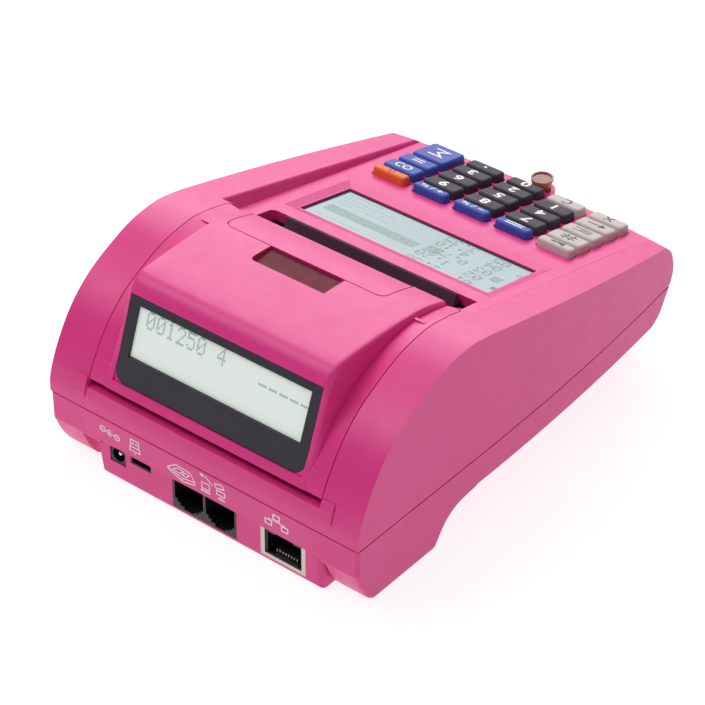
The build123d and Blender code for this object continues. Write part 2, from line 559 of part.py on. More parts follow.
def gear(n, cy, cz, phase, x0, x1, bore, add=0.38, ded=0.58):
    rp = GEAR_M * n / 2
    ra, rf = rp + add, rp - ded
    cp = 2 * math.pi / n
    wp = 0.42 * cp
    wt = wp - 2 * add * math.tan(math.radians(24)) / rp
    wr = wp + 2 * ded * math.tan(math.radians(24)) / rp
    pts = []
    for i in range(n):
        a = phase + i * cp
        for r, w in ((rf, -wr / 2), (ra, -wt / 2), (ra, wt / 2), (rf, wr / 2)):
            pts.append((cy + r * math.cos(a + w), cz + r * math.sin(a + w)))
    g = prism_yz(pts, x0, x1)
    if bore > 0:
        g = g - cyl_x(cy, cz, bore, x0 - 1, x1 + 1)
    return g


phi_ip = math.atan2(PLATEN_Z - AX_IZ, PLATEN_Y - AX_IY)
phi_im = math.atan2(AX_MZ - AX_IZ, AX_MY - AX_IY)
ti = 2 * math.pi / N_IDLER
eps = (phi_ip - phi_im) % ti
if eps > ti / 2:
    eps -= ti
parts["idler_gear"] = gear(N_IDLER, AX_IY, AX_IZ, phi_ip, 32.1, 34.9, 1.05) - \
    (cyl_x(AX_IY, AX_IZ, 5.4, 34.1, 35.5) - cyl_x(AX_IY, AX_IZ, 2.2, 33.0, 36.0))
parts["platen_gear"] = gear(N_PLATEN, PLATEN_Y, PLATEN_Z, phi_ip + math.pi + math.pi / N_PLATEN, 32.1, 34.9, 1.5)
parts["motor_pinion"] = gear(N_PINION, AX_MY, AX_MZ, phi_im + math.pi - eps * N_IDLER / N_PINION + math.pi / N_PINION, 32.1, 34.9, 0) \
    + cyl_x(AX_MY, AX_MZ, 0.75, 24.5, 33.0)
parts["platen_shaft"] = cyl_x(PLATEN_Y, PLATEN_Z, 1.5, -31.8, 35.4)
parts["platen_roller"] = cyl_x(PLATEN_Y, PLATEN_Z, PLATEN_R, -28.8, 28.8) - cyl_x(PLATEN_Y, PLATEN_Z, 1.5, -30, 30)

# paper bucket and roll
bucket = cyl_x(BUCKET_Y, BUCKET_Z, BUCKET_R + 1.2, -30.6, 30.6) + box(-30.6, 30.6, BUCKET_Y - BUCKET_R - 1.2, BUCKET_Y + BUCKET_R + 1.2, BUCKET_Z, 47.5)
bucket = bucket - cyl_x(BUCKET_Y, BUCKET_Z, BUCKET_R, -29.3, 29.3) - box(-29.3, 29.3, BUCKET_Y - BUCKET_R, BUCKET_Y + BUCKET_R, BUCKET_Z, 90)
bucket = bucket - box(-40, 40, -90, 0, 47.5, 90)
bucket = bucket + box(-8.0, 8.0, BUCKET_Y - 4.0, BUCKET_Y + 4.0, 17.25, 20.3) - cyl_x(BUCKET_Y, BUCKET_Z, BUCKET_R, -29.3, 29.3)
parts["paper_bucket"] = bucket
parts["paper_roll"] = cyl_x(ROLL_Y, ROLL_Z, ROLL_R, -28.5, 28.5) - cyl_x(ROLL_Y, ROLL_Z, 6.0, -30, 30)
parts["paper_core"] = cyl_x(ROLL_Y, ROLL_Z, 6.0, -28.3, 28.3) - cyl_x(ROLL_Y, ROLL_Z, 4.8, -30, 30)

# ------------------------------------------------------------- printer cover
# hump curve: lower arc, display plane, rounded shoulder and nearly flat top
def on_arc_z(z):
    best = min(ARC_S, key=lambda p: abs(p[1] - z) if p[0] > -40 else 1e9)
    i = ARC_S.index(best)
    a, b = (ARC_S[i - 1], ARC_S[i]) if best[1] > z else (ARC_S[i], ARC_S[i + 1])
    t = (z - a[1]) / (b[1] - a[1])
    return (a[0] + t * (b[0] - a[0]), z)


DISP_C = (-7.1, 45.85)
DISP_N = (0.9387, 0.3448)
DISP_U = (-0.3448, 0.9387)


def disp_pt(u, n=0.0):
    return (DISP_C[0] + u * DISP_U[0] + n * DISP_N[0], DISP_C[1] + u * DISP_U[1] + n * DISP_N[1])


hump_ctrl = [(0.0, 29.4), (-0.72, 31.2), (-1.85, 33.4), (-3.05, 35.8), disp_pt(-7.2), disp_pt(0.0), disp_pt(8.0), disp_pt(13.6),
             (-13.4, 61.1), (-15.3, 62.6), (-18.2, 63.2),
             (-28.0, 63.55), (-38.0, 63.6), (-46.0, 63.25), (-52.0, 62.55), (-57.0, 61.35), (COVER_FRONT, 59.8)]
hump_edge = spline3(hump_ctrl)
NS = 40
H = []
for k in range(NS + 1):
    p = hump_edge.position_at(k / NS)
    H.append((p.Y, p.Z))
a_start = on_arc_z(29.4)
arc_full = [p for p in ARC_S if p[1] > 29.8 or p[0] < -30]
arc_full = [a_start] + arc_full + [(COVER_FRONT, rim(COVER_FRONT))]
arc_cover = spline3(arc_full)
A = []
for k in range(NS + 1):
    p = arc_cover.position_at(k / NS)
    A.append((p.Y, p.Z))


A_D = offset_pts(A, 1.0)


def section(f, x, dip=0.0, sink=0.0):
    """Cross-section between the arc (f = 0) and the hump (f = 1), lowered by dip away from the rear edge and by sink everywhere."""
    pts = []
    for a, h, d in zip(A, H, A_D):
        w = min(1.0, max(0.0, (a[1] - 34.0) / 10.0)) if a[0] > -30 else 1.0
        k = dip * w * w * (3 - 2 * w) + sink
        pts.append((a[0] + f * (h[0] - a[0]) + k * (d[0] - a[0]), a[1] + f * (h[1] - a[1]) + k * (d[1] - a[1])))
    e = Edge.make_spline([Vector(x, p[0], p[1]) for p in pts])
    q0, q1 = (A[0][0] - 4.0, A[0][1] - 1.0), (COVER_FRONT - 0.5, A[-1][1] - 4.2)
    mid = (-20.0, 45.0)
    return Wire([e, seg3(pts[-1], q1, x), seg3(q1, mid, x), seg3(mid, q0, x), seg3(q0, pts[0], x)])


hump_mid = extrude(Face(section(1.0, -34.3)), amount=68.6, dir=(1, 0, 0))
flares = []
for s in (1, -1):
    secs = [section(f, s * x, 0.0, k) for f, x, k in ((1.0, 34.3, 0.0), (0.988, 34.95, 0.0), (0.93, 35.6, 0.0), (0.72, 36.15, 0.0),
                                                     (0.34, 36.6, 0.15), (0.0, 37.0, 0.7), (-0.05, 37.4, 1.8))]
    flares.append(Solid.make_loft(secs, ruled=False))
# bands beside the hump, sunk a little towards it
bands = [Solid.make_loft([section(0.0, s * 36.2, 1.0), section(0.0, s * COVER_X)], ruled=True) for s in (1, -1)]
outer_cover = hump_mid + flares[0] + flares[1] + bands[0] + bands[1]
# flat strip along the front edge at the hump's height, with rounded inner corners
hump_wide = extrude(Face(section(1.0, -COVER_X)), amount=2 * COVER_X, dir=(1, 0, 0))
strip = box(-COVER_X, COVER_X, -63.0, -58.0, 50, 80)
for s in (1, -1):
    a, b = sorted((s * 36.4, s * 39.4))
    strip = strip + (box(a, b, -58.5, -55.7, 50, 80) - cyl_z(s * 39.4, -55.7, 2.3, 49, 81))
outer_cover = outer_cover + (hump_wide & strip)
H_IN = offset_pts(H, WALL)
A_IN = [p for p in offset_pts(A, WALL + 0.6) if p[1] > 30.3]
A_IN8 = [p for p in offset_pts(A, 7.0) if p[1] > 30.3]
inner_mid = prism_yz([(-3.6, 30.0)] + [p for p in H_IN if p[1] > 31.5] + [(-66.0, H_IN[-1][1] - 0.6), (-66.0, 30.0)], -33.2, 33.2)
inner_side = prism_yz([(A_IN[0][0] + 0.0, 30.0)] + A_IN + [(-66.0, A_IN[-1][1] - 1.0), (-66.0, 30.0)], -40.2, 40.2)
inner_skirt = prism_yz([(A_IN8[0][0], 30.0)] + A_IN8 + [(-66.0, A_IN8[-1][1] - 1.0), (-66.0, 30.0)], -45, 45)
cover = outer_cover - inner_mid - inner_side - inner_skirt
cover_box = box(-COVER_X, COVER_X, COVER_FRONT, 10, COVER_LOW, 80)
for s in (1, -1):
    a, b = sorted((s * (COVER_X - 1.9), s * (COVER_X + 1)))
    cover_box = cover_box - (box(a, b, COVER_FRONT - 1, COVER_FRONT + 1.9, 20, 90)
                             - cyl_z(s * (COVER_X - 1.9), COVER_FRONT + 1.9, 1.9, 19, 91))
cover = cover & cover_box
# display pocket and aperture
DP = Plane(origin=(0, DISP_C[0], DISP_C[1]), x_dir=(-1, 0, 0), z_dir=(0, DISP_N[0], DISP_N[1]))
bez = Sketch() + Rectangle(68.8, 26.1)
bez = fillet(bez.vertices().sort_by(Axis.Y)[:2], 4.0)
pocket = DP * (Pos(0, 0, -1.45) * extrude(Rectangle(69.1, 26.4), amount=6))
cover = cover - pocket
cover = cover - DP * (Pos(0, 2.92, -4.0) * extrude(Rectangle(62.6, 15.6), amount=8))
bez_plate = DP * (Pos(0, 0, -1.4) * extrude(bez, amount=1.4))
bez_plate = bez_plate - DP * (Pos(0, 2.92, -3.0) * extrude(Rectangle(62.4, 15.5), amount=6))
parts["customer_display_bezel"] = bez_plate
# round the lower corners of the pocket to match the bezel
for sx in (1, -1):
    corner = Pos(sx * 34.55, -13.2, -1.45) * extrude(Rectangle(8.4, 8.4), amount=1.4)
    corner = corner - Pos(sx * 30.4, -9.05, -2.0) * extrude(Circle(4.15), amount=4) \
        - Pos(sx * 30.4, -9.05, -2.0) * extrude(Rectangle(8.3, 20), amount=4).moved(Location((-sx * 4.15, 0, 0))) \
        - Pos(sx * 30.4, -9.05, -2.0) * extrude(Rectangle(20, 8.3), amount=4).moved(Location((0, 4.15, 0)))
    cover = cover + (DP * corner)
cover = cover & cover_box
lcd2 = DP * (Pos(0, 1.5, -8.4) * extrude(Rectangle(66.4, 20.0), amount=6.0)) + DP * (Pos(0, 2.92, -2.5) * extrude(Rectangle(62.2, 15.2), amount=1.7))
parts["customer_display_module"] = lcd2

# paper window in the top
WIN = (-11.8, 15.1, -49.2, -39.2)
win_open = box(WIN[0], WIN[1], WIN[2], WIN[3], 50, 70)
win_open = win_open - (box(WIN[1] - 1.8, WIN[1] + 1, WIN[3] - 1.8, WIN[3] + 1, 49, 71) - cyl_z(WIN[1] - 1.8, WIN[3] - 1.8, 1.8, 48, 72))
cover = cover - win_open
cover = cover + (box(WIN[0] - 1.7, WIN[1] + 1.7, -48.35, WIN[3] + 1.7, 59.7, 61.9) - box(WIN[0] + 1.0, WIN[1] - 1.0, -50.0, WIN[3] - 1.0, 50, 70))
cover = cover - box(WIN[0] - 0.7, WIN[1] + 0.7, -50.0, WIN[3] + 0.7, 61.0, 62.15)
parts["paper_window"] = box(WIN[0] - 0.6, WIN[1] + 0.6, -48.3, WIN[3] + 0.6, 61.0, 62.1)

# beam under the latch plate that carries the platen brackets
H_B0 = offset_pts(H, 2.7)
H_B1 = offset_pts(H, 4.3)
hb0 = [p for p in H_B0 if p[0] < -45.0]
hb1 = [p for p in H_B1 if p[0] < -45.0]
beam = prism_yz(hb0 + hb1[::-1], -40.3, 40.3) & (box(-40.3, 40.3, -61.5, -49.1, 50, 64) + box(-40.3, -13.6, -49.2, -47.2, 50, 64)
                                                 + box(16.9, 40.3, -49.2, -47.2, 50, 64))
tie = prism_yz([p for p in offset_pts(H, 1.0) if -50.9 < p[0] < -44.6] + [p for p in H_B1 if -50.9 < p[0] < -44.6][::-1], -40.3, 40.3)
tie = tie & (box(-40.3, -13.6, -48.3, -47.2, 50, 64) + box(16.9, 40.3, -48.3, -47.2, 50, 64))
cover = cover + beam + tie


def latch_outline(c, z0, z1):
    s = Pos(3.7, -54.3, z0) * extrude(RectangleRounded(58.4 - 2 * c, 11.8 - 2 * c + 8.0, 3.0 - c * 0.5).moved(Location((0, -4.0, 0))), amount=z1 - z0)
    return s


latch_zone = latch_outline(0.0, 50, 70)
plate_src = (hump_mid - prism_yz([p for p in H_IN if p[0] < -44] + [(-70, 50), (-44, 50)], -50, 50)) & box(-50, 50, COVER_FRONT, -47.0, 50, 70)
latch = plate_src & latch_outline(0.35, 50, 70)
cut_zone = latch_zone & (hump_mid - prism_yz([p for p in H_B0 if p[0] < -44] + [(-70, 50), (-44, 50)], -50, 50) + box(-45, 45, -66, -61.0, 56.5, 70))
cover = cover - cut_zone
LATCH_Y, LATCH_Z = -49.6, 61.6
latch = latch + cyl_x(LATCH_Y, LATCH_Z, 0.8, -26.0, 33.4)
latch = latch & (box(-26.0, 33.4, -70, -40, 50, 70))
cover = cover - cyl_x(LATCH_Y, LATCH_Z, 0.86, -26.3, 33.7)
latch = latch + (cyl_x(LATCH_Y, LATCH_Z, 0.8, -26.0, 33.4) - box(-25.0, 32.4, -60, -40, 50, 70))


def front_top_edges(s):
    """The upper front edge of the cover or of the latch plate."""
    return [e for e in s.edges() if abs(e.center().Y - COVER_FRONT) < 0.05 and e.bounding_box().min.Z > 59.2
            and e.bounding_box().size.X > 4 and e.bounding_box().size.Z < 0.05]


parts["cover_latch"] = fillet_some(latch, front_top_edges, (0.8, 0.5))
cover = fillet_some(cover, front_top_edges, (0.8, 0.5))

# platen brackets
for s in (1, -1):
    a, b = sorted((s * 29.4, s * 31.0))
    arm = prism_yz([(-61.4, 57.0), (-54.0, 58.8), (-54.0, 55.5), (-60.5, 50.1), (-65.2, 45.5), (-67.85, 44.6), (-70.05, 45.5),
                    (-70.75, 47.6), (-70.05, 49.7), (-67.85, 50.6), (-65.2, 51.6)], a, b)
    cover = cover + arm
cover = cover - cyl_x(PLATEN_Y, PLATEN_Z, 1.56, -33, 33)
# hinge lugs
for s in (1, -1):
    a, b = sorted((s * 38.2, s * 42.2))
    lug = cyl_x(HINGE_Y, HINGE_Z, 2.6, a, b) + prism_yz([(-6.6, 33.4), (-2.6, 33.4), (-4.4, 37.4), (-8.0, 39.5)], a, b)
    cover = cover + lug
cover = cover - cyl_x(HINGE_Y, HINGE_Z, 1.56, -43, 43)
parts["printer_cover"] = cover
parts["hinge_pins"] = cyl_x(HINGE_Y, HINGE_Z, 1.5, 38.4, 46.0) + cyl_x(HINGE_Y, HINGE_Z, 1.5, -46.0, -38.4)

# battery, feet and screws
feet = None
for fx, fy in FEET:
    f = cyl_z(fx, fy, 4.5, 0.0, 1.4)
    feet = f if feet is None else feet + f
parts["rubber_feet"] = feet
scr = None
for sx, sy in SCREWS:
    h = cyl_z(sx, sy, 2.6, 12.2, 14.0) + cyl_z(sx, sy, 1.3, 14.0, 29.0)
    h = h - Pos(sx, sy, 12.2) * Box(3.2, 0.7, 1.6) - Pos(sx, sy, 12.2) * Box(0.7, 3.2, 1.6)
    scr = h if scr is None else scr + h
parts["casing_screws"] = scr

# --------------------------------------------------------------------- export
os.makedirs("parts", exist_ok=True)
for name, shape in parts.items():
    moved = Pos(0, YC, 0) * shape
    export_step(moved, os.path.join("parts", name + ".step"))
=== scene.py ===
import math
import bpy
import bmesh
from mathutils import Matrix, Vector


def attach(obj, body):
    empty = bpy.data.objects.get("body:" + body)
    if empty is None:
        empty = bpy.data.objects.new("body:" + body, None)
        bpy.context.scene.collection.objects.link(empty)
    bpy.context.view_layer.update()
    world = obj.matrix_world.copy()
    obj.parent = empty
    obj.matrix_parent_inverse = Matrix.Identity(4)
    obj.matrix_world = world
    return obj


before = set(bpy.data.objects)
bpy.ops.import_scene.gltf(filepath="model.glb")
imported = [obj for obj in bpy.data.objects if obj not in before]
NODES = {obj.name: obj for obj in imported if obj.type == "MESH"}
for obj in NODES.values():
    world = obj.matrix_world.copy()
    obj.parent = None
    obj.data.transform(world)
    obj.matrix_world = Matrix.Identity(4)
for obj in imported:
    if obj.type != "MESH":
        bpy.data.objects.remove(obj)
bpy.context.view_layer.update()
S = bpy.context.scene

YC = 80.5                 # mm from the CAD's working frame to the row frame
MM = 0.001


def P(x, y, z):
    """A point of the CAD's working frame (mm) in the row frame (m)."""
    return Vector((x * MM, (y + YC) * MM, z * MM))


# ------------------------------------------------------------------ camera
def make_camera():
    az, el, roll = math.radians(38.75), math.radians(36.22), math.radians(0.39)
    fwd = Vector((math.sin(az) * math.cos(el), -math.cos(az) * math.cos(el), -math.sin(el)))
    right = fwd.cross(Vector((0, 0, 1))).normalized()
    up = right.cross(fwd).normalized()
    r2 = right * math.cos(roll) + up * math.sin(roll)
    u2 = -right * math.sin(roll) + up * math.cos(roll)
    data = bpy.data.cameras.new("camera")
    data.sensor_fit = "HORIZONTAL"
    data.sensor_width = 36.0
    data.lens = 2654.1 / 705.0 * 36.0
    data.clip_start, data.clip_end = 0.01, 30.0
    cam = bpy.data.objects.new("camera", data)
    S.collection.objects.link(cam)
    m = Matrix((
        (r2.x, u2.x, -fwd.x, 0), (r2.y, u2.y, -fwd.y, 0), (r2.z, u2.z, -fwd.z, 0), (0, 0, 0, 1)))
    c = P(-390.7, 420.2, 479.8)
    cam.matrix_world = Matrix.Translation(c) @ m
    S.camera = cam
    return cam


cam = make_camera()
S.view_settings.view_transform = "Standard"
S.view_settings.look = "None"
S.view_settings.exposure = 0.0
S.view_settings.gamma = 1.0


# --------------------------------------------------------------- materials
def new_mat(name):
    m = bpy.data.materials.new(name)
    m.use_nodes = True
    nt = m.node_tree
    for n in list(nt.nodes):
        if n.type not in ("BSDF_PRINCIPLED", "OUTPUT_MATERIAL"):
            nt.nodes.remove(n)
    b = next(n for n in nt.nodes if n.type == "BSDF_PRINCIPLED")
    return m, nt, b


def link(nt, a, ao, b, bi):
    nt.links.new(a.outputs[ao], b.inputs[bi])


def coords(nt):
    t = nt.nodes.new("ShaderNodeTexCoord")
    return t


def noise(nt, co, scale, detail=2.0, rough=0.5, w=None):
    n = nt.nodes.new("ShaderNodeTexNoise")
    n.inputs["Scale"].default_value = scale
    n.inputs["Detail"].default_value = detail
    n.inputs["Roughness"].default_value = rough
    nt.links.new(co, n.inputs["Vector"])
    return n


def ramp(nt, fac, stops, interp="LINEAR"):
    r = nt.nodes.new("ShaderNodeValToRGB")
    r.color_ramp.interpolation = interp
    els = r.color_ramp.elements
    while len(els) < len(stops):
        els.new(0.5)
    for e, (p, c) in zip(els, stops):
        e.position = p
        e.color = (*c, 1.0) if len(c) == 3 else c
    nt.links.new(fac, r.inputs["Fac"])
    return r


def shade(c, k):
    return tuple(min(1.0, v * k) for v in c)


def map_range(nt, val, a0, a1, b0, b1):
    m = nt.nodes.new("ShaderNodeMapRange")
    m.inputs["From Min"].default_value = a0
    m.inputs["From Max"].default_value = a1
    m.inputs["To Min"].default_value = b0
    m.inputs["To Max"].default_value = b1
    nt.links.new(val, m.inputs["Value"])
    return m


def plastic(name, color, rough=0.42, var=0.05, grain=1500.0, bump=0.10, bump_dist=0.00003, spec=0.5, coat=0.0,
            coat_rough=0.2, rough_var=0.06, sss=0.0, sss_color=None, metallic=0.0):
    """Moulded plastic: slightly mottled colour, fine eroded-mould grain and uneven gloss."""
    m, nt, b = new_mat(name)
    t = coords(nt)
    co = t.outputs["Object"]
    n1 = noise(nt, co, 38.0, 3.0)
    r1 = ramp(nt, n1.outputs["Fac"], [(0.30, shade(color, 1 - var)), (0.55, color), (0.78, shade(color, 1 + var))])
    link(nt, r1, "Color", b, "Base Color")
    n2 = noise(nt, co, 260.0, 4.0, 0.6)
    mr = map_range(nt, n2.outputs["Fac"], 0.25, 0.75, rough - rough_var, rough + rough_var)
    link(nt, mr, "Result", b, "Roughness")
    n3 = noise(nt, co, grain, 2.0, 0.6)
    bp = nt.nodes.new("ShaderNodeBump")
    bp.inputs["Strength"].default_value = bump
    bp.inputs["Distance"].default_value = bump_dist
    link(nt, n3, "Fac", bp, "Height")
    link(nt, bp, "Normal", b, "Normal")
    b.inputs["Specular IOR Level"].default_value = spec
    b.inputs["Metallic"].default_value = metallic
    if coat:
        b.inputs["Coat Weight"].default_value = coat
        b.inputs["Coat Roughness"].default_value = coat_rough
    if sss:
        b.inputs["Subsurface Weight"].default_value = sss
        b.inputs["Subsurface Radius"].default_value = sss_color or (0.0015, 0.0006, 0.0008)
        b.inputs["Subsurface Scale"].default_value = 1.0
    return m


def metal(name, color, rough=0.3, brush=(1, 1, 1), grain=900.0, bump=0.15, var=0.06):
    m, nt, b = new_mat(name)
    t = coords(nt)
    mp = nt.nodes.new("ShaderNodeMapping")
    mp.inputs["Scale"].default_value = brush
    nt.links.new(t.outputs["Object"], mp.inputs["Vector"])
    n1 = noise(nt, mp.outputs["Vector"], grain, 4.0, 0.6)
    r1 = ramp(nt, n1.outputs["Fac"], [(0.3, shade(color, 1 - var)), (0.7, shade(color, 1 + var))])
    link(nt, r1, "Color", b, "Base Color")
    b.inputs["Metallic"].default_value = 1.0
    mr = map_range(nt, n1.outputs["Fac"], 0.3, 0.7, rough * 0.8, rough * 1.25)
    link(nt, mr, "Result", b, "Roughness")
    bp = nt.nodes.new("ShaderNodeBump")
    bp.inputs["Strength"].default_value = bump
    bp.inputs["Distance"].default_value = 0.00002
    link(nt, n1, "Fac", bp, "Height")
    link(nt, bp, "Normal", b, "Normal")
    return m


PINK = (0.81, 0.037, 0.265)
M = {
    "pink": plastic("pink_case", PINK, rough=0.40, var=0.035, grain=2100, bump=0.22, bump_dist=0.00002, sss=0.0),
    "charcoal": plastic("charcoal_key", (0.052, 0.043, 0.058), rough=0.50, var=0.10, grain=2600, bump=0.25, spec=0.20),
    "white": plastic("white_key", (0.60, 0.53, 0.52), rough=0.50, var=0.03, grain=2600, bump=0.2, spec=0.35),
    "blue": plastic("blue_key", (0.050, 0.095, 0.45), rough=0.44, var=0.06, grain=2600, bump=0.2, spec=0.30),
    "orange": plastic("orange_key", (0.88, 0.150, 0.030), rough=0.44, var=0.05, grain=2600, bump=0.2, spec=0.35),
    "black": plastic("black_socket", (0.012, 0.012, 0.014), rough=0.30, var=0.15, grain=1800, bump=0.15),
    "grey": plastic("dark_grey_part", (0.055, 0.055, 0.060), rough=0.50, var=0.10, grain=1500, bump=0.25),
    "rubber": plastic("black_rubber", (0.016, 0.016, 0.017), rough=0.70, var=0.2, grain=1200, bump=0.3),
    "dome_rubber": plastic("dome_mat_rubber", (0.35, 0.35, 0.34), rough=0.65, var=0.08, grain=1200, bump=0.2),
    "gear": plastic("gear_acetal", (0.62, 0.60, 0.54), rough=0.38, var=0.04, grain=1500, bump=0.1),
    "battery": plastic("battery_sleeve", (0.05, 0.055, 0.065), rough=0.33, var=0.1, grain=300, bump=0.3, bump_dist=0.0001),
    "shell": metal("socket_shell", (0.62, 0.54, 0.49), rough=0.36, brush=(1, 1, 6), grain=500),
    "steel": metal("ground_steel", (0.56, 0.56, 0.57), rough=0.25, brush=(8, 1, 1), grain=500),
    "darksteel": metal("blackened_steel", (0.16, 0.10, 0.12), rough=0.42, brush=(1, 8, 8), grain=700),
    "motor": metal("motor_can", (0.48, 0.48, 0.47), rough=0.35, brush=(5, 1, 1), grain=600),
    "alu": metal("head_aluminium", (0.62, 0.62, 0.63), rough=0.35, brush=(6, 1, 1), grain=500),
    "brass": metal("pinion_brass", (0.72, 0.52, 0.22), rough=0.3, brush=(5, 1, 1), grain=600),
    "gold": metal("contact_gold", (0.90, 0.72, 0.40), rough=0.22, brush=(1, 6, 1), grain=800),
}


def board_material():
    m, nt, b = new_mat("circuit_board")
    t = coords(nt)
    v = nt.nodes.new("ShaderNodeTexVoronoi")
    v.feature = "DISTANCE_TO_EDGE"
    v.inputs["Scale"].default_value = 260.0
    nt.links.new(t.outputs["Object"], v.inputs["Vector"])
    r = ramp(nt, v.outputs["Distance"], [(0.02, (0.03, 0.22, 0.10)), (0.08, (0.012, 0.11, 0.05))])
    link(nt, r, "Color", b, "Base Color")
    n = noise(nt, t.outputs["Object"], 700.0)
    mr = map_range(nt, n.outputs["Fac"], 0.3, 0.7, 0.25, 0.4)
    link(nt, mr, "Result", b, "Roughness")
    return m


def paper_material():
    m, nt, b = new_mat("thermal_paper")
    t = coords(nt)
    # the turns of the roll on its end faces, plain fibre elsewhere
    sep = nt.nodes.new("ShaderNodeVectorMath")
    sep.operation = "SUBTRACT"
    nt.links.new(t.outputs["Object"], sep.inputs[0])
    sep.inputs[1].default_value = P(0, -38.0, 38.35)
    mul = nt.nodes.new("ShaderNodeVectorMath")
    mul.operation = "MULTIPLY"
    nt.links.new(sep.outputs["Vector"], mul.inputs[0])
    mul.inputs[1].default_value = (0, 1, 1)
    ln = nt.nodes.new("ShaderNodeVectorMath")
    ln.operation = "LENGTH"
    nt.links.new(mul.outputs["Vector"], ln.inputs[0])
    sc = nt.nodes.new("ShaderNodeMath")
    sc.operation = "MULTIPLY"
    nt.links.new(ln.outputs["Value"], sc.inputs[0])
    sc.inputs[1].default_value = 9000.0
    sn = nt.nodes.new("ShaderNodeMath")
    sn.operation = "SINE"
    nt.links.new(sc.outputs["Value"], sn.inputs[0])
    r = ramp(nt, sn.outputs["Value"], [(0.0, (0.74, 0.73, 0.70)), (1.0, (0.86, 0.86, 0.84))])
    link(nt, r, "Color", b, "Base Color")
    n = noise(nt, t.outputs["Object"], 900.0, 3.0)
    mr = map_range(nt, n.outputs["Fac"], 0.3, 0.7, 0.5, 0.62)
    link(nt, mr, "Result", b, "Roughness")
    return m


def lcd_material(name, top, low, line_axis, pitch, painted_glow=0.0, rough=0.12, behind=None):
    """Reflective liquid crystal: pale, faintly lined by its electrode columns and uneven in tone."""
    m, nt, b = new_mat(name)
    t = coords(nt)
    sx = nt.nodes.new("ShaderNodeSeparateXYZ")
    nt.links.new(t.outputs["Object"], sx.inputs["Vector"])
    mul = nt.nodes.new("ShaderNodeMath")
    mul.operation = "MULTIPLY"
    nt.links.new(sx.outputs[line_axis], mul.inputs[0])
    mul.inputs[1].default_value = 2 * math.pi / pitch
    sn = nt.nodes.new("ShaderNodeMath")
    sn.operation = "SINE"
    nt.links.new(mul.outputs["Value"], sn.inputs[0])
    n = noise(nt, t.outputs["Object"], 22.0, 2.0)
    ad = nt.nodes.new("ShaderNodeMath")
    ad.operation = "MULTIPLY_ADD"
    nt.links.new(sn.outputs["Value"], ad.inputs[0])
    ad.inputs[1].default_value = 0.10
    nt.links.new(n.outputs["Fac"], ad.inputs[2])
    r = ramp(nt, ad.outputs["Value"], [(0.25, low), (0.75, top)])
    color = r.outputs["Color"]
    if behind is not None:
        # the circuit board behind the glass: dark green where the point lies behind a plane
        dot = nt.nodes.new("ShaderNodeVectorMath")
        dot.operation = "DOT_PRODUCT"
        nt.links.new(t.outputs["Object"], dot.inputs[0])
        dot.inputs[1].default_value = behind[0]
        front = nt.nodes.new("ShaderNodeMath")
        front.operation = "GREATER_THAN"
        nt.links.new(dot.outputs["Value"], front.inputs[0])
        front.inputs[1].default_value = behind[1]
        mix = nt.nodes.new("ShaderNodeMix")
        mix.data_type = "RGBA"
        nt.links.new(front.outputs["Value"], mix.inputs[0])
        mix.inputs[6].default_value = (0.012, 0.10, 0.045, 1.0)
        nt.links.new(color, mix.inputs[7])
        color = mix.outputs[2]
    nt.links.new(color, b.inputs["Base Color"])
    b.inputs["Roughness"].default_value = rough
    # painted glow: the display's colour, the board behind it included, is also emitted, so the reflective crystal
    # shines by itself
    if painted_glow:
        nt.links.new(color, b.inputs["Emission Color"])
        b.inputs["Emission Strength"].default_value = painted_glow
    return m


def seal_material():
    m, nt, b = new_mat("seal_amber")
    t = coords(nt)
    n = noise(nt, t.outputs["Object"], 420.0, 4.0)
    r = ramp(nt, n.outputs["Fac"], [(0.3, (0.30, 0.075, 0.045)), (0.7, (0.52, 0.17, 0.11))])
    link(nt, r, "Color", b, "Base Color")
    b.inputs["Roughness"].default_value = 0.12
    b.inputs["Transmission Weight"].default_value = 0.45
    b.inputs["IOR"].default_value = 1.49
    return m


def window_material():
    m, nt, b = new_mat("smoked_window")
    t = coords(nt)
    n = noise(nt, t.outputs["Object"], 300.0, 2.0)
    r = ramp(nt, n.outputs["Fac"], [(0.3, (0.155, 0.024, 0.036)), (0.7, (0.215, 0.040, 0.052))])
    link(nt, r, "Color", b, "Base Color")
    b.inputs["Roughness"].default_value = 0.14
    b.inputs["Transmission Weight"].default_value = 0.10
    b.inputs["IOR"].default_value = 1.3
    b.inputs["Specular IOR Level"].default_value = 0.05
    return m


def tear_material_painted_tips():
    """Dark moulded bar whose tooth tips are painted lighter by height: a painted highlight where the sharp tips would
    catch the light.
    """
    m, nt, b = new_mat("tear_bar_dark")
    t = coords(nt)
    sx = nt.nodes.new("ShaderNodeSeparateXYZ")
    nt.links.new(t.outputs["Object"], sx.inputs["Vector"])
    n = noise(nt, t.outputs["Object"], 900.0, 3.0)
    ad = nt.nodes.new("ShaderNodeMath")
    ad.operation = "MULTIPLY_ADD"
    nt.links.new(n.outputs["Fac"], ad.inputs[0])
    ad.inputs[1].default_value = 0.0001
    nt.links.new(sx.outputs["Z"], ad.inputs[2])
    # painted highlight: the colour lightens towards the top of the teeth so their tips look lit
    mr = map_range(nt, ad.outputs["Value"], 0.05285, 0.05330, 0.0, 1.0)
    r = ramp(nt, mr.outputs["Result"], [(0.0, (0.105, 0.052, 0.078)), (0.5, (0.16, 0.09, 0.12)), (1.0, (0.62, 0.42, 0.50))])
    link(nt, r, "Color", b, "Base Color")
    rr = map_range(nt, n.outputs["Fac"], 0.3, 0.7, 0.36, 0.46)
    link(nt, rr, "Result", b, "Roughness")
    b.inputs["Specular IOR Level"].default_value = 0.35
    return m


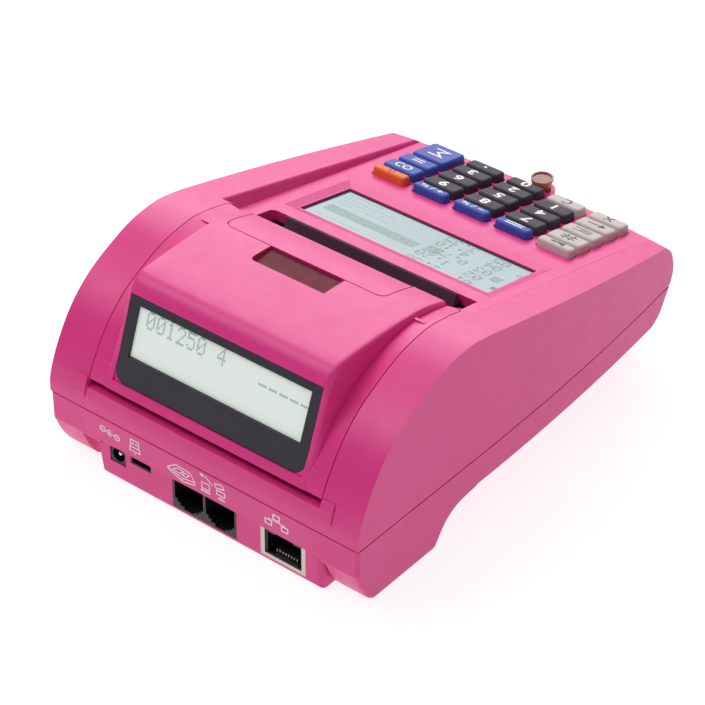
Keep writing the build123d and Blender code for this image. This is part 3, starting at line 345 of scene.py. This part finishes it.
M["board"] = board_material()
M["paper"] = paper_material()
LCD_N = Vector((0.0, 0.9387, 0.3448))
# the customer's display carries a painted glow of strength 0.10 on top of its lit colour
M["lcd_customer"] = lcd_material("customer_lcd", (0.90, 0.97, 0.91), (0.82, 0.90, 0.84), "X", 0.00125, painted_glow=0.10,
                                 behind=(LCD_N, P(0, -7.1, 45.85).dot(LCD_N) - 0.0024))
M["lcd_operator"] = lcd_material("operator_lcd", (0.40, 0.51, 0.55), (0.33, 0.44, 0.48), "X", 0.0009, painted_glow=0.0, rough=0.30)
M["bezel"] = plastic("black_window", (0.016, 0.012, 0.024), rough=0.20, var=0.1, grain=400, bump=0.03, spec=0.40)
M["seal"] = seal_material()
M["window"] = window_material()
M["tear"] = tear_material_painted_tips()

ASSIGN = {
    "base_shell": "pink", "upper_casing": "pink", "printer_cover": "pink", "cover_latch": "pink", "battery_hatch": "pink",
    "seal_cup": "seal", "dc_jack": "black", "usb_socket": "darksteel", "dual_modular_socket": "black", "network_socket_shell": "shell",
    "network_socket_insert": "black", "network_socket_contacts": "gold", "main_board": "board", "battery_pack": "battery",
    "keypad_board": "board", "key_mat": "dome_rubber", "main_display_module": "board", "main_display_glass": "lcd_operator",
    "printer_frame": "grey", "feed_motor": "motor", "print_head": "alu", "tear_bar": "tear", "paper_bucket": "grey",
    "hinge_pins": "steel", "rubber_feet": "rubber", "casing_screws": "steel", "paper_window": "window",
    "customer_display_bezel": "bezel", "customer_display_module": "lcd_customer", "platen_roller": "rubber",
    "platen_shaft": "steel", "platen_gear": "gear", "idler_gear": "gear", "motor_pinion": "brass", "paper_roll": "paper",
    "paper_core": "grey",
}
WHITE = ("key_feed", "key_plu", "key_department", "key_void", "key_quantity", "key_clear")
BLUE = ("key_function", "key_minus_percent", "key_plus_percent", "key_pay", "key_subtotal", "key_total")
for name in NODES:
    if name.startswith("key_") and name != "key_mat":
        ASSIGN[name] = "white" if name in WHITE else "blue" if name in BLUE else "orange" if name == "key_power" else "charcoal"
for name, ob in NODES.items():
    ob.data.materials.clear()
    ob.data.materials.append(M[ASSIGN[name]])


# ------------------------------------------------------- flat marks on faces
def mesh_piece(name, verts, faces, mat, body):
    me = bpy.data.meshes.new(name)
    me.from_pydata([tuple(v) for v in verts], [], faces)
    me.update()
    me.materials.append(mat)
    ob = bpy.data.objects.new(name, me)
    S.collection.objects.link(ob)
    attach(ob, body)
    return ob


class Marks:
    """Flat printed marks gathered in one mesh. Points are (u, v) in mm in a plane given by a matrix."""

    def __init__(self, matrix, thick=0.012, gain=1.0):
        self.m, self.v, self.f, self.t, self.gain = matrix, [], [], thick, gain

    def poly(self, pts):
        """A thin closed prism with a convex or simple outline."""
        n, k = len(pts), len(self.v)
        area = sum(pts[i][0] * pts[(i + 1) % n][1] - pts[(i + 1) % n][0] * pts[i][1] for i in range(n))
        if area < 0:
            pts = pts[::-1]
        for z in (0.0, self.t):
            for u, v in pts:
                self.v.append(self.m @ Vector((u * MM, v * MM, z * MM)))
        self.f.append(tuple(range(k + n, k + 2 * n)))
        self.f.append(tuple(range(k + n - 1, k - 1, -1)))
        for i in range(n):
            j = (i + 1) % n
            self.f.append((k + i, k + j, k + n + j, k + n + i))

    def rect(self, u0, v0, u1, v1):
        self.poly([(u0, v0), (u1, v0), (u1, v1), (u0, v1)])

    def stroke(self, pts, w, closed=False):
        """A line of width w through the points, mitred at the corners."""
        n, w = len(pts), w * self.gain
        left, right = [], []
        for i in range(n):
            a = pts[(i - 1) % n] if (closed or i > 0) else None
            b = pts[(i + 1) % n] if (closed or i < n - 1) else None
            p = Vector(pts[i])
            d0 = (p - Vector(a)).normalized() if a is not None else None
            d1 = (Vector(b) - p).normalized() if b is not None else None
            if d0 is None:
                d0 = d1
            if d1 is None:
                d1 = d0
            n0, n1 = Vector((-d0.y, d0.x)), Vector((-d1.y, d1.x))
            mm = (n0 + n1)
            mm = mm.normalized() if mm.length > 1e-6 else n0
            k = min(2.5, 1.0 / max(0.3, mm.dot(n0)))
            left.append(tuple(p + mm * w / 2 * k))
            right.append(tuple(p - mm * w / 2 * k))
        rng = range(n) if closed else range(n - 1)
        for i in rng:
            j = (i + 1) % n
            self.poly([left[i], right[i], right[j], left[j]])

    def ring(self, cu, cv, r, w, n=24, a0=0.0, a1=360.0):
        full = abs(a1 - a0) >= 360
        c = [(cu + r * math.cos(math.radians(a0 + (a1 - a0) * i / n)), cv + r * math.sin(math.radians(a0 + (a1 - a0) * i / n)))
             for i in range(n if full else n + 1)]
        self.stroke(c, w, closed=full)

    def disc(self, cu, cv, r, n=20):
        self.poly([(cu + r * math.cos(2 * math.pi * i / n), cv + r * math.sin(2 * math.pi * i / n)) for i in range(n)])

    def done(self, name, mat, body, slot=None):
        return mesh_piece(name, self.v, self.f, mat, body)


def ink(name, color, rough=0.5, var=0.04):
    m, nt, b = new_mat(name)
    t = coords(nt)
    n = noise(nt, t.outputs["Object"], 1500.0, 3.0)
    r = ramp(nt, n.outputs["Fac"], [(0.3, shade(color, 1 - var)), (0.7, shade(color, 1 + var))])
    link(nt, r, "Color", b, "Base Color")
    mr = map_range(nt, n.outputs["Fac"], 0.3, 0.7, rough - 0.05, rough + 0.05)
    link(nt, mr, "Result", b, "Roughness")
    return m


M["ink_white"] = ink("ink_white", (0.88, 0.85, 0.86))
M["ink_black"] = ink("ink_black", (0.03, 0.026, 0.03))
M["ink_icon"] = ink("ink_icon", (0.95, 0.80, 0.87))
M["lcd_dot"] = ink("lcd_dot", (0.36, 0.60, 0.62), rough=0.25)
M["lcd_green"] = ink("lcd_green", (0.19, 0.31, 0.285), rough=0.3)
M["lcd_text"] = ink("lcd_text", (0.085, 0.155, 0.150), rough=0.3)

# panel frame: local x = X, y up the slope, z out of the panel
PANEL_Y0, PANEL_Z0, SLOPE = -121.5, 42.65, 0.2144
PA = math.atan(SLOPE)
PANEL = Matrix.Translation(P(0, PANEL_Y0, PANEL_Z0)) @ Matrix.Rotation(PA, 4, "X")


def ly(y):
    return (y - PANEL_Y0) / math.cos(PA)


def panel_frame(h):
    return PANEL @ Matrix.Translation(Vector((0, 0, h * MM)))


# ------------------------------------------------------------- key legends
ROWS = {"A": (-121.4, -125.3), "B": (-126.3, -132.6), "C": (-133.7, -139.9), "D": (-141.0, -147.1), "E": (-148.2, -153.5)}
PITCH = 15.48
KEY_TOP = 2.6


def text_mesh(body, size, bold=0.0):
    cu = bpy.data.curves.new("t", "FONT")
    cu.body = body
    cu.size = size
    cu.align_x, cu.align_y = "CENTER", "CENTER"
    cu.offset = bold
    cu.extrude = 0.000006
    cu.resolution_u = 6
    ob = bpy.data.objects.new("t", cu)
    S.collection.objects.link(ob)
    bpy.context.view_layer.update()
    me = bpy.data.meshes.new_from_object(ob)
    bpy.data.objects.remove(ob)
    return me


def legend(key, col, r0, r1, text, mat, size=4.4, sx=1.0, bold=0.00008):
    xc = (col - 2) * PITCH
    yc = (ly(ROWS[r0][0]) + ly(ROWS[r1][1])) / 2
    me = text_mesh(text, size * MM, bold)
    co = [v.co for v in me.vertices]
    cx = (max(c.x for c in co) + min(c.x for c in co)) / 2
    cy = (max(c.y for c in co) + min(c.y for c in co)) / 2
    me.transform(panel_frame(KEY_TOP + 0.006) @ Matrix.Translation(Vector((xc * MM, yc * MM, 0)))
                 @ Matrix.Diagonal(Vector((sx, 1, 1, 1))) @ Matrix.Translation(Vector((-cx, -cy, 0))))
    me.materials.append(mat)
    ob = bpy.data.objects.new("legend_" + key[4:], me)
    S.collection.objects.link(ob)
    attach(ob, key + "_body")
    return ob


W, K = M["ink_white"], M["ink_black"]
for key, col, row, t in (("key_7", 1, "B", "7"), ("key_4", 1, "C", "4"), ("key_1", 1, "D", "1"), ("key_8", 2, "B", "8"),
                         ("key_5", 2, "C", "5"), ("key_2", 2, "D", "2"), ("key_0", 2, "E", "0"), ("key_9", 3, "B", "9"),
                         ("key_6", 3, "C", "6"), ("key_3", 3, "D", "3")):
    legend(key, col, row, row, t, W, 5.0, 1.15, 0.00015)

# function keys carry plain signs, drawn as strokes in mm about the key's centre
def key_marks(key, col, r0, r1, draw, mat):
    xc = (col - 2) * PITCH
    yc = (ly(ROWS[r0][0]) + ly(ROWS[r1][1])) / 2
    mk = Marks(panel_frame(KEY_TOP + 0.004) @ Matrix.Translation(Vector((xc * MM, yc * MM, 0))))
    draw(mk)
    return mk.done("legend_" + key[4:], mat, key + "_body", "key_white" if mat is W else "key_charcoal")


def sign_feed(m):
    m.poly([(-2.6, -1.0), (2.2, -0.45), (2.2, 0.45), (-2.6, 0.0)])
    m.poly([(-2.6, 1.15), (-0.4, 0.15), (-2.6, 0.15)])


def sign_bars(n):
    def draw(m):
        for i in range(n):
            v = (i - (n - 1) / 2) * 1.25
            m.rect(-3.2, v - 0.27, 3.2, v + 0.27)
    return draw


def sign_grid(m):
    for u in (-1.1, 1.1):
        m.stroke([(u - 0.35, -1.9), (u + 0.35, 1.9)], 0.5)
    for v in (-0.75, 0.75):
        m.rect(-2.5, v - 0.25, -1.35, v + 0.25)
        m.rect(-0.78, v - 0.25, 0.78, v + 0.25)
        m.rect(1.35, v - 0.25, 2.5, v + 0.25)


def sign_back(m):
    m.poly([(-3.3, 0.0), (-1.3, 1.5), (-1.3, 0.3), (3.0, 0.3), (3.0, -0.3), (-1.3, -0.3), (-1.3, -1.5)])


def sign_times(m):
    m.stroke([(-1.45, -1.45), (1.45, 1.45)], 0.55)
    m.stroke([(-1.45, 1.45), (-0.3, 0.3)], 0.55)
    m.stroke([(0.3, -0.3), (1.45, -1.45)], 0.55)


def sign_clear(m):
    m.ring(0.2, 0.0, 1.55, 0.6, 22, 48, 312)


def sign_lines(m):
    for i, w in enumerate((3.0, 2.0, 3.0)):
        m.rect(-3.0, 0.95 - i * 0.95 - 0.2, -3.0 + w * 2, 0.95 - i * 0.95 + 0.2)


def sign_percent(first):
    def draw(m):
        m.rect(-3.9, -0.22, -2.1, 0.22)
        if first == "+":
            m.rect(-3.22, 0.22, -2.78, 0.9)
            m.rect(-3.22, -0.9, -2.78, -0.22)
        m.stroke([(-0.75, -1.15), (0.15, 1.15)], 0.36)
        m.ring(1.75, 0.55, 0.42, 0.3, 14)
        m.ring(3.45, -0.55, 0.42, 0.3, 14)
        m.stroke([(1.9, -1.1), (3.3, 1.1)], 0.32)
    return draw


def sign_power(m):
    m.ring(0.0, -0.1, 1.05, 0.38, 20, 128, 412)
    m.rect(-0.19, -0.1, 0.19, 1.35)


def sign_coins(m):
    m.ring(-1.3, 0.0, 1.35, 0.5, 22)
    m.ring(1.5, 0.0, 1.35, 0.5, 22, -125, 125)


def sign_equal(m):
    m.rect(-2.1, 0.45, 2.1, 1.0)
    m.rect(-2.1, -1.0, 2.1, -0.45)


def sign_total(m):
    m.stroke([(2.6, 2.5), (-2.4, 2.5), (0.5, 0.0), (-2.4, -2.5), (2.6, -2.5)], 0.8)


key_marks("key_feed", 0, "A", "A", sign_feed, K)
key_marks("key_plu", 0, "B", "B", sign_grid, K)
key_marks("key_department", 0, "C", "C", sign_lines, K)
key_marks("key_void", 0, "D", "D", sign_back, K)
key_marks("key_quantity", 0, "E", "E", sign_times, K)
key_marks("key_clear", 1, "E", "E", sign_clear, K)
key_marks("key_function", 1, "A", "A", sign_bars(2), W)
key_marks("key_minus_percent", 2, "A", "A", sign_percent("-"), W)
key_marks("key_plus_percent", 3, "A", "A", sign_percent("+"), W)
key_marks("key_point", 3, "E", "E", lambda m: m.disc(0, 0, 0.55), W)
key_marks("key_power", 4, "A", "A", sign_power, K)
key_marks("key_pay", 4, "B", "B", sign_coins, W)
key_marks("key_subtotal", 4, "C", "C", sign_equal, W)
key_marks("key_total", 4, "D", "E", sign_total, W)

# --------------------------------------------------------- display contents
DOTS = {
    "0": ("01110", "10001", "10011", "10101", "11001", "10001", "01110"), "1": ("00100", "01100", "00100", "00100", "00100", "00100", "01110"),
    "2": ("01110", "10001", "00001", "00010", "00100", "01000", "11111"), "3": ("11111", "00010", "00100", "00010", "00001", "10001", "01110"),
    "4": ("00010", "00110", "01010", "10010", "11111", "00010", "00010"), "5": ("11111", "10000", "11110", "00001", "00001", "10001", "01110"),
    "6": ("00110", "01000", "10000", "11110", "10001", "10001", "01110"), "7": ("11111", "00001", "00010", "00100", "01000", "01000", "01000"),
    "8": ("01110", "10001", "10001", "01110", "10001", "10001", "01110"), "9": ("01110", "10001", "10001", "01111", "00001", "00010", "01100"),
    ".": ("00000", "00000", "00000", "00000", "00000", "01100", "01100"), "-": ("00000", "00000", "00000", "11111", "00000", "00000", "00000"),
    "x": ("00000", "00000", "10001", "01010", "00100", "01010", "10001"), "=": ("00000", "00000", "11111", "00000", "11111", "00000", "00000"),
    "_": ("00000", "00000", "00000", "00000", "00000", "00000", "11111"), " ": ("00000",) * 7,
}


def dots(mk, text, u0, v0, du, dv, gap, pitch):
    """Dot-matrix characters from the upper left corner (u0, v0); du, dv are the dot pitches."""
    for i, ch in enumerate(text):
        for r, row in enumerate(DOTS[ch]):
            for c, on in enumerate(row):
                if on == "1":
                    u, v = u0 + i * pitch + c * du, v0 - r * dv
                    mk.rect(u, v - dv + gap, u + du - gap, v)


# customer's display: local u to the viewer's right, v up its plane, centred on the frame's centre
DY, DZ, DNY, DNZ = -7.1, 45.85, 0.9387, 0.3448
FACE = Matrix((
    (-1, 0, 0, 0), (0, -DNZ, DNY, 0), (0, DNY, DNZ, 0), (0, 0, 0, 1)))


def face_frame(n):
    c = P(0, DY + n * DNY, DZ + n * DNZ)
    return Matrix.Translation(c) @ FACE


mk = Marks(face_frame(-0.797), 0.004)
top = (55.5 - DZ) / DNY
dots(mk, "001250 4", -27.9, top, 0.60, 0.76, 0.09, 3.72)
for i in range(5):
    u = 13.2 + 3.72 * i
    for k in range(5):
        mk.rect(u + k * 0.60, top - 7 * 0.76 + 0.09, u + k * 0.60 + 0.51, top - 6 * 0.76)
mk.done("customer_display_dots", M["lcd_dot"], "cover", "display_panel")

# operator's display: u = X, v up the slope
mk = Marks(panel_frame(-1.697), 0.004)
for text, y in (("01  2.50", -84.4), ("02  1.20", -89.6), ("03 0.75", -94.6), ("04  4.10", -99.4), ("05  3.35", -103.9)):
    dots(mk, text, -27.2, ly(y), 0.50, 0.53, 0.05, 2.95)
mk.rect(-34.0, ly(-90.6), -32.3, ly(-88.6))
mk.ring(-33.1, ly(-102.4), 0.8, 0.3, 16)
mk.done("operator_display_text", M["lcd_text"], "chassis", "display_panel")
mk = Marks(panel_frame(-1.697), 0.003)
mk.rect(-2.0, ly(-96.2), 31.8, ly(-91.7))
mk.rect(-9.4, ly(-98.2), -4.2, ly(-93.6))
mk.rect(-31.9, ly(-96.8), -28.6, ly(-93.2))
mk.done("operator_display_bar", M["lcd_green"], "chassis", "display_panel")
mk = Marks(panel_frame(-1.697), 0.003)
for y, a, b, seed in ((-85.6, 13.0, 32.0, 3), (-87.9, 15.0, 32.0, 5), (-99.2, 12.0, 32.0, 7), (-101.3, 16.0, 32.0, 11), (-103.4, 13.0, 32.0, 13),
                      (-106.0, 20.0, 32.0, 17)):
    u, k = a, seed
    while u < b:
        k = (k * 37 + 11) % 101
        w = 0.5 + (k % 5) * 0.28
        if k % 6:
            mk.rect(u, ly(y) - 0.22, min(u + w, b), ly(y) + 0.22)
        u += w + 0.28
mk.done("operator_display_lines", M["lcd_green"], "chassis", "display_panel")

# ------------------------------------------------- signs above the sockets
STRIP = Matrix.Translation(P(0, 1.0, 0)) @ Matrix(((-1, 0, 0, 0), (0, 0, 1, 0), (0, 1, 0, 0), (0, 0, 0, 1)))


def sign_plane(thick=0.008):
    return Marks(STRIP @ Matrix.Translation(Vector((0, 0, 0.010 * MM))), thick, 1.3)


# faint film that carries the signs, with rounded ends
M["film"] = plastic("sign_film", (0.80, 0.050, 0.275), rough=0.34, var=0.03, grain=900, bump=0.05)
mk = Marks(STRIP @ Matrix.Translation(Vector((0, 0, 0.002 * MM))), 0.008)
FILM = (-44.0, 41.0, 13.1, 20.5, 1.6)
mk.poly([(u + FILM[4] * math.cos(math.radians(a)), v + FILM[4] * math.sin(math.radians(a)))
         for u, v, a0 in ((FILM[1] - FILM[4], FILM[3] - FILM[4], 0), (FILM[0] + FILM[4], FILM[3] - FILM[4], 90),
                          (FILM[0] + FILM[4], FILM[2] + FILM[4], 180), (FILM[1] - FILM[4], FILM[2] + FILM[4], 270))
         for a in range(a0, a0 + 91, 15)])
mk.done("sign_film", M["film"], "chassis", "pink_plastic")


mk = sign_plane()
# power inlet: minus ring, half ring with centre dot, plus ring
for u, v in ((-36.4, 17.25), (-30.9, 16.55)):
    mk.ring(u, v, 0.95, 0.26, 20)
mk.rect(-36.85, 17.13, -35.95, 17.37)
mk.rect(-31.35, 16.43, -30.45, 16.67)
mk.rect(-31.02, 16.13, -30.78, 16.43)
mk.rect(-31.02, 16.67, -30.78, 16.97)
mk.ring(-33.65, 16.9, 0.95, 0.26, 18, 60, 300)
mk.disc(-33.65, 16.9, 0.42, 14)
mk.stroke([(-35.45, 17.1), (-34.6, 17.0)], 0.24)
mk.stroke([(-33.3, 16.85), (-31.85, 16.68)], 0.24)
mk.done("sign_power", M["ink_icon"], "chassis")
# data socket: a plain plug end
mk = sign_plane()
mk.stroke([(-25.6, 18.9), (-22.6, 18.9), (-22.6, 16.3), (-25.6, 16.3)], 0.28, closed=True)
mk.rect(-25.0, 17.4, -24.4, 18.0)
mk.rect(-23.8, 17.4, -23.2, 18.0)
mk.stroke([(-26.0, 16.3), (-26.0, 14.9), (-22.2, 14.9), (-22.2, 16.3)], 0.28)
mk.rect(-24.24, 13.9, -23.96, 14.9)
mk.done("sign_data", M["ink_icon"], "chassis")
# drawer: open till seen from above
mk = sign_plane()
mk.stroke([(-11.6, 16.2), (-8.4, 18.3), (-3.2, 17.9), (-1.5, 15.4), (-6.2, 14.6)], 0.26, closed=True)
mk.stroke([(-11.6, 16.2), (-11.4, 15.4), (-6.2, 13.5), (-1.6, 14.4), (-1.5, 15.4)], 0.26)
mk.stroke([(-9.6, 16.3), (-7.9, 17.4), (-5.6, 17.2), (-7.2, 15.9)], 0.22, closed=True)
mk.stroke([(-6.4, 15.8), (-4.9, 17.0), (-3.5, 16.8), (-4.6, 15.6)], 0.22, closed=True)
mk.stroke([(-6.2, 14.6), (-6.2, 13.5)], 0.24)
mk.done("sign_drawer", M["ink_icon"], "chassis")
# second modular socket: a screen, a handset line and a scale
mk = sign_plane()
mk.stroke([(1.1, 17.2), (3.9, 17.2), (3.9, 15.1), (1.1, 15.1)], 0.26, closed=True)
mk.rect(0.7, 14.0, 4.3, 14.5)
mk.rect(0.5, 19.2, 1.7, 20.0)
mk.stroke([(1.7, 19.6), (2.9, 19.4), (4.2, 18.2), (5.2, 17.9)], 0.26)
mk.stroke([(5.9, 18.9), (8.6, 19.5), (9.3, 18.2), (6.4, 17.6)], 0.26, closed=True)
mk.stroke([(6.6, 17.0), (9.6, 17.0), (9.6, 15.6), (6.6, 15.6)], 0.26, closed=True)
mk.rect(7.0, 14.0, 9.6, 14.4)
mk.rect(7.6, 14.8, 9.0, 15.1)
mk.done("sign_device", M["ink_icon"], "chassis")
# network: three linked boxes
mk = sign_plane()
mk.stroke([(27.0, 19.0), (29.2, 19.0), (29.2, 17.4), (27.0, 17.4)], 0.30, closed=True)
mk.stroke([(24.2, 16.4), (26.4, 16.4), (26.4, 14.8), (24.2, 14.8)], 0.30, closed=True)
mk.stroke([(30.0, 16.4), (32.2, 16.4), (32.2, 14.8), (30.0, 14.8)], 0.30, closed=True)
mk.rect(27.96, 16.85, 28.24, 17.25)
mk.rect(25.16, 16.72, 31.24, 17.0)
mk.rect(25.16, 16.55, 25.44, 16.72)
mk.rect(30.96, 16.55, 31.24, 16.72)
mk.done("sign_network", M["ink_icon"], "chassis")


# ------------------------------------------------------ small added pieces
def boxes_piece(name, boxes, mat, body, matrix=None, bevel=0.0):
    """Closed boxes (x0, x1, y0, y1, z0, z1 in mm, working frame or the given matrix's frame) in one mesh."""
    bm = bmesh.new()
    for x0, x1, y0, y1, z0, z1 in boxes:
        r = bmesh.ops.create_cube(bm, size=1.0)
        for v in r["verts"]:
            p = Vector(((x0 + x1) / 2 + v.co.x * (x1 - x0), (y0 + y1) / 2 + v.co.y * (y1 - y0), (z0 + z1) / 2 + v.co.z * (z1 - z0)))
            v.co = matrix @ (p * MM) if matrix is not None else P(*p)
    if bevel:
        bmesh.ops.bevel(bm, geom=list(bm.edges), offset=bevel * MM, segments=2, affect="EDGES", profile=0.5)
    bmesh.ops.recalc_face_normals(bm, faces=bm.faces)
    me = bpy.data.meshes.new(name)
    bm.to_mesh(me)
    bm.free()
    me.materials.append(mat)
    ob = bpy.data.objects.new(name, me)
    S.collection.objects.link(ob)
    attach(ob, body)
    return ob


M["tin"] = metal("tinned_tip", (0.90, 0.88, 0.84), rough=0.30, brush=(1, 6, 1), grain=800)
# rounded front ends of the network socket's contacts
boxes_piece("network_contact_tips", [(-29.5 - 3.57 + 1.02 * i - 0.26, -29.5 - 3.57 + 1.02 * i + 0.26, -3.5, -1.75, 3.35, 4.25)
                                     for i in range(8)], M["tin"], "chassis", bevel=0.12)
# plated sleeve and rounded tip of the power inlet's pin
bm = bmesh.new()
rings = []
for r, y in ((0.69, -8.95), (0.69, -1.25), (0.60, -1.02), (0.38, -0.88)):
    rings.append([bm.verts.new(P(31.95 + r * math.cos(2 * math.pi * i / 20), y, 9.1 + r * math.sin(2 * math.pi * i / 20))) for i in range(20)])
for a, b in zip(rings, rings[1:]):
    for i in range(20):
        bm.faces.new((a[i], a[(i + 1) % 20], b[(i + 1) % 20], b[i]))
bm.faces.new(rings[0][::-1])
bm.faces.new(rings[-1])
bmesh.ops.recalc_face_normals(bm, faces=bm.faces)
me = bpy.data.meshes.new("power_pin")
bm.to_mesh(me)
bm.free()
me.materials.append(M["tin"])
ob = bpy.data.objects.new("power_pin", me)
S.collection.objects.link(ob)
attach(ob, "chassis")
# thin black ring round the operator's display: painted shade, a dark strip standing in for the shaded inner walls of
# the display recess
G0, G1, GI = 34.62, (ly(-108.45), ly(-84.75)), 0.45
boxes_piece("operator_display_shade_ring", [
    (-G0, G0, G1[0], G1[0] + GI, -1.72, -1.45), (-G0, G0, G1[1] - GI, G1[1], -1.72, -1.45),
    (-G0, -G0 + GI, G1[0] + GI, G1[1] - GI, -1.72, -1.45), (G0 - GI, G0, G1[0] + GI, G1[1] - GI, -1.72, -1.45)],
    M["rubber"], "chassis", matrix=PANEL)


# ------------------------------------------------------------------- stage
def stage_floor():
    me = bpy.data.meshes.new("floor")
    bm = bmesh.new()
    bmesh.ops.create_grid(bm, x_segments=1, y_segments=1, size=6.0)
    bm.to_mesh(me)
    bm.free()
    ob = bpy.data.objects.new("floor", me)
    S.collection.objects.link(ob)
    m, nt, b = new_mat("floor")
    t = coords(nt)
    n = noise(nt, t.outputs["Object"], 3.0)
    r = ramp(nt, n.outputs["Fac"], [(0.3, (0.27, 0.27, 0.27)), (0.7, (0.29, 0.29, 0.29))])
    link(nt, r, "Color", b, "Base Color")
    b.inputs["Roughness"].default_value = 0.9
    b.inputs["Specular IOR Level"].default_value = 0.1
    b.inputs["Emission Color"].default_value = (1.0, 1.0, 1.0, 1.0)
    b.inputs["Emission Strength"].default_value = 0.84
    me.materials.append(m)
    return ob


stage_floor()

world = bpy.data.worlds.new("studio")
S.world = world
world.use_nodes = True
bg = next(n for n in world.node_tree.nodes if n.type == "BACKGROUND")
bg.inputs["Color"].default_value = (1.0, 1.0, 1.0, 1.0)
bg.inputs["Strength"].default_value = 0.11


def area(name, loc, target, size, power, size_y=None):
    d = bpy.data.lights.new(name, "AREA")
    d.shape = "RECTANGLE"
    d.size, d.size_y = size, size_y or size
    d.energy = power
    ob = bpy.data.objects.new(name, d)
    S.collection.objects.link(ob)
    ob.location = loc
    ob.rotation_mode = "QUATERNION"
    ob.rotation_quaternion = (Vector(target) - Vector(loc)).to_track_quat("-Z", "Y")
    return ob


area("top_box", (0.1, 0.05, 1.3), (0, 0, 0.03), 1.2, 6.0)
area("far_box", (0.75, -0.95, 0.85), (0, 0, 0.04), 1.2, 16.0)
area("rear_box", (0.72, 0.62, 1.15), (0, 0, 0.04), 0.7, 5.4)
area("edge_strip", (-0.85, 0.18, 0.88), (0, 0, 0.04), 0.9, 1.0, 0.12)
